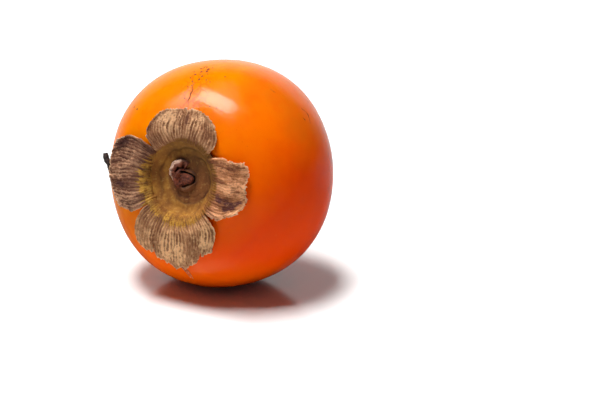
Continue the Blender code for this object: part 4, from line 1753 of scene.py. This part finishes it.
@dataclass
class Studio:
    """The pale floor, the softboxes, the white room and the camera."""

    middle: Vector
    distance: float = 466.6 * MM
    azimuth: float = math.radians(31.3)
    elevation: float = math.radians(18.0)
    lens: float = 85.0
    aim_right: float = 27.3 * MM
    aim_up: float = -10.4 * MM
    floor_size: float = 6.0
    floor_level: float = -0.15 * MM
    fill: float = 0.06
    backdrop_edge: Pair = (0.52, 0.86)
    backdrop_foot: Pair = (-0.72, -0.42)
    softboxes: tuple[Softbox, ...] = (
        Softbox("softbox", (-0.17, 0.0, 0.98), 2.6, (1.4, 0.8), 0.0, 34.0, False),
        Softbox("softbox_gleam", (-0.40, -0.24, 0.88), 0.8, (0.48, 0.24), math.radians(6), 34.0, True),
        Softbox("softbox_glow", (-0.68, -0.04, 0.70), 0.8, (0.24, 0.24), math.radians(6), 12.0, True),
    )

    @property
    def right(self) -> Vector:
        """Level and to the right, as the camera sees it."""
        return Vector((math.cos(self.azimuth), math.sin(self.azimuth), 0.0))

    @property
    def away(self) -> Vector:
        """Level and away from the camera."""
        return Vector((-math.sin(self.azimuth), math.cos(self.azimuth), 0.0))

    def camera(self) -> None:
        """Sets the camera at the fruit's left front, looking a little down."""
        back = Vector((0.0, 0.0, math.sin(self.elevation))) - self.away * math.cos(self.elevation)
        up = back.cross(self.right)
        aim = self.middle + self.right * self.aim_right + up * self.aim_up
        data = bpy.data.cameras.new("camera")
        data.lens = self.lens
        data.sensor_width = SENSOR_WIDTH
        data.clip_start = 0.01
        camera = link("camera", data)
        camera.location = self.middle + back * self.distance
        camera.rotation_euler = (camera.location - aim).to_track_quat("Z", "Y").to_euler()
        bpy.context.scene.camera = camera

    def hang(self, box: Softbox) -> None:
        """Hangs a softbox.

        Args:
            box: The softbox.
        """
        level = self.right * box.direction[0] + self.away * box.direction[1]
        towards = (level + Vector((0, 0, box.direction[2]))).normalized()
        data = bpy.data.lights.new(box.name, "AREA")
        data.shape = "RECTANGLE"
        data.size, data.size_y = box.size
        data.energy = box.radiance * math.pi * box.size[0] * box.size[1]
        light = link(box.name, data)
        light.location = self.middle + towards * box.distance
        track = towards.to_track_quat("Z", "Y").to_matrix().to_4x4()
        light.rotation_euler = (track @ Matrix.Rotation(box.turn, 4, "Z")).to_euler()
        light.visible_camera = False
        light.visible_diffuse = not box.mirrored
        light.visible_glossy = box.mirrored

    def world(self) -> None:
        """Fills the room with a soft white that mirrors as a pale backdrop, and sets the plain view."""
        world = bpy.data.worlds.new("studio")
        bpy.context.scene.world = world
        world.use_nodes = True
        tree = Tree(world.node_tree)
        rays = tree.node("ShaderNodeLightPath")
        seen = Wire(tree, rays.outputs["Is Camera Ray"])
        mirrored = Wire(tree, rays.outputs["Is Glossy Ray"])
        ahead = tree.vector("NORMALIZE", tree.wire("ShaderNodeTexCoord", out="Generated"))
        _, _, up = tree.separate(ahead)
        behind = tree.vector("DOT_PRODUCT", ahead, tuple(self.away), out="Value")
        backdrop = tree.span(behind, *self.backdrop_edge) * tree.span(up, *self.backdrop_foot)
        strength = seen * 1.05 + mirrored * backdrop + (1.0 - seen) * (1.0 - mirrored) * self.fill
        sky = tree.wire("ShaderNodeBackground", {"Color": (1.0, 1.0, 1.0, 1.0), "Strength": strength})
        tree.node("ShaderNodeOutputWorld", {0: sky})
        bpy.context.scene.view_settings.view_transform = "Standard"
        bpy.context.scene.view_settings.look = "None"

    def floor(self) -> None:
        """Lays the table under the fruit."""
        half = self.floor_size / 2
        mesh = bpy.data.meshes.new("floor")
        corners = [(-half, -half), (half, -half), (half, half), (-half, half)]
        mesh.from_pydata([(x, y, self.floor_level) for x, y in corners], [], [(0, 1, 2, 3)])
        mesh.materials.append(FloorFinish("floor_pale", Matrix.Identity(4), tuple(self.away)).build())
        floor = link("floor", mesh)

    def build(self) -> None:
        """Sets the whole studio."""
        self.camera()
        for box in self.softboxes:
            self.hang(box)
        self.world()
        self.floor()


def sepals(site: Assembly, cup: CalyxCup) -> list[Sepal]:
    """Lists the four lobes with their outlines, in millimetres seen along the fruit's axis.

    Args:
        site: Where the pieces are added.
        cup: The cup that the lobes grow from.

    Returns:
        The lobes.
    """
    return [
        Sepal(
            site, cup, "sepal_right", (-41.0, 41.6), ((15.0, -9.8), (18.9, -8.4)),
            ((22.7, -6.3), (23.7, -3.6), (23.4, 0.8), (23.6, 5.6), (22.4, 8.4)), ((18.4, 8.2), (14.2, 9.0)),
            LobeTone.STRAW, 11, 0.7 * MM, (1.5 * MM, 0.2 * MM), ((0.02, 0.08, 0.03), (0.30, 0.04, 0.02)),
            ((0.42, 0.20, 0.07, 0.16, 0.9), (0.32, 0.42, 0.08, 0.20, 1.2), (0.22, 0.68, 0.09, 0.22, 1.5),
             (0.48, 0.5, 0.10, 0.6, -0.6),
             (0.05, 0.25, 0.05, 0.3, -0.8), (0.80, 0.5, 0.12, 0.4, 0.25), (0.95, 0.95, 0.06, 0.1, -0.8)),
            ribs=21.0,
        ),
        Sepal(
            site, cup, "sepal_top", (42.6, 138.9), ((12.2, 12.4), (11.9, 15.4)),
            ((10.5, 18.2), (7.8, 20.7), (3.8, 22.2), (-2.2, 21.9), (-7.2, 20.8), (-9.8, 18.3)),
            ((-11.9, 15.6), (-12.4, 12.6)),
            LobeTone.ROSY, 23, 0.1 * MM, (0.2 * MM, 0.6 * MM), ((0.47, 0.13, 0.018), (0.30, 0.04, 0.01)),
            ((0.45, 0.70, 0.035, 0.30, 0.9), (0.72, 0.72, 0.13, 0.2, -0.8), (0.97, 0.55, 0.05, 0.3, 0.9),
             (0.55, 0.42, 0.12, 0.2, -0.3), (0.28, 0.80, 0.08, 0.12, -0.5), (0.05, 0.5, 0.05, 0.4, 0.4),
             (0.72, 0.96, 0.10, 0.03, 0.8), (0.2, 0.35, 0.1, 0.2, 0.2)),
            ribs=25.0,
        ),
        Sepal(
            site, cup, "sepal_left", (139.6, 220.8), ((-14.6, 10.9), (-19.0, 11.5)),
            ((-23.4, 9.6), (-26.1, 6.6), (-27.0, 2.2), (-26.3, -2.4), (-24.3, -6.8), (-20.4, -10.9)),
            ((-17.6, -11.7), (-14.0, -11.5)),
            LobeTone.UMBER, 37, 1.9 * MM, (0.5 * MM, 0.3 * MM), ((0.18, 0.07, 0.02), (0.62, 0.05, 0.015)),
            ((0.10, 0.75, 0.12, 0.3, 1.0), (0.30, 0.5, 0.08, 0.3, -0.35), (0.50, 0.72, 0.08, 0.3, -0.5),
             (0.64, 0.70, 0.07, 0.30, 0.9), (0.86, 0.65, 0.11, 0.35, -1.0), (0.40, 0.9, 0.06, 0.12, 0.6)),
            ribs=22.0,
        ),
        Sepal(
            site, cup, "sepal_bottom", (221.8, 318.4), ((-13.2, -12.7), (-15.3, -17.2)),
            ((-15.1, -21.3), (-12.3, -23.7), (-7.4, -25.7), (-3.4, -27.8), (1.0, -28.5), (5.2, -26.3),
             (8.4, -23.6), (12.6, -20.8)),
            ((14.3, -15.8), (13.4, -11.8)),
            LobeTone.SANDY, 53, 0.1 * MM, (0.3 * MM, 0.3 * MM), ((0.255, 0.28, 0.015), (0.84, 0.29, 0.019)),
            ((0.46, 0.66, 0.12, 0.22, -1.0), (0.12, 0.55, 0.10, 0.3, 0.3), (0.27, 0.8, 0.03, 0.2, 0.8),
             (0.66, 0.6, 0.07, 0.3, 0.45), (0.86, 0.66, 0.06, 0.14, -0.8), (0.80, 0.84, 0.03, 0.14, 0.9),
             (0.5, 0.95, 0.2, 0.05, 0.4)),
            ribs=28.0,
        ),
    ]


def build_pieces(site: Assembly) -> None:
    """Builds every piece of the fruit, from the skin outwards.

    Args:
        site: Where the pieces are added.
    """
    skin = FruitSkin(site)
    skin.build()
    SkinMarks(site, skin).build()
    cup = CalyxCup(site)
    cup.build()
    for lobe in sepals(site, cup):
        lobe.build()
    StemStub(site, cup).build()
    for tip in dry_tips(site):
        tip.build()


def dry_tips(site: Assembly) -> list[DryTip]:
    """Lists the shrivelled threads, in millimetres on the fruit's axis.

    Args:
        site: Where the pieces are added.

    Returns:
        The threads.
    """
    foot = -site.form.blossom_height / MM
    return [
        DryTip(
            site, "sepal_left_dry_tip",
            (((-26.6, -2.6, 23.3), (-27.2, -0.4, 23.5), (-27.5, 1.0, 23.5), (-28.4, 2.2, 23.3),
              (-28.9, 3.2, 23.2), (-29.2, 4.2, 23.1)),),
            (0.15, 0.27, 0.54, 0.88, 0.98, 0.74), WoodPart.CHAR, "sepal",
        ),
        DryTip(
            site, "sepal_bottom_dry_tip",
            (((0.9, -27.0, 22.2), (1.6, -28.0, 21.3), (2.4, -29.6, 19.9), (3.0, -31.2, 18.5)),
             ((1.6, -27.2, 21.6), (2.6, -28.3, 20.9), (3.3, -29.9, 19.5), (3.7, -31.4, 18.2))),
            (0.26, 0.17, 0.14, 0.08), WoodPart.STRAW, "sepal",
        ),
        DryTip(
            site, "style_remnant",
            (((0.0, 0.0, foot + 1.4), (0.1, 0.0, foot + 0.4), (0.35, 0.1, foot - 0.6)),),
            (0.7, 0.5, 0.3), WoodPart.CHAR, "style", ("style_tip",),
        ),
    ]


def main() -> None:
    """Loads the solids, dresses the fruit, and sets the studio."""
    logging.basicConfig(level=logging.INFO, format="%(name)s: %(message)s")
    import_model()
    form = FruitForm()
    place = form.place()
    build_pieces(Assembly(form, place))
    Studio(place.to_translation()).build()


if __name__ == "__main__":
    main()
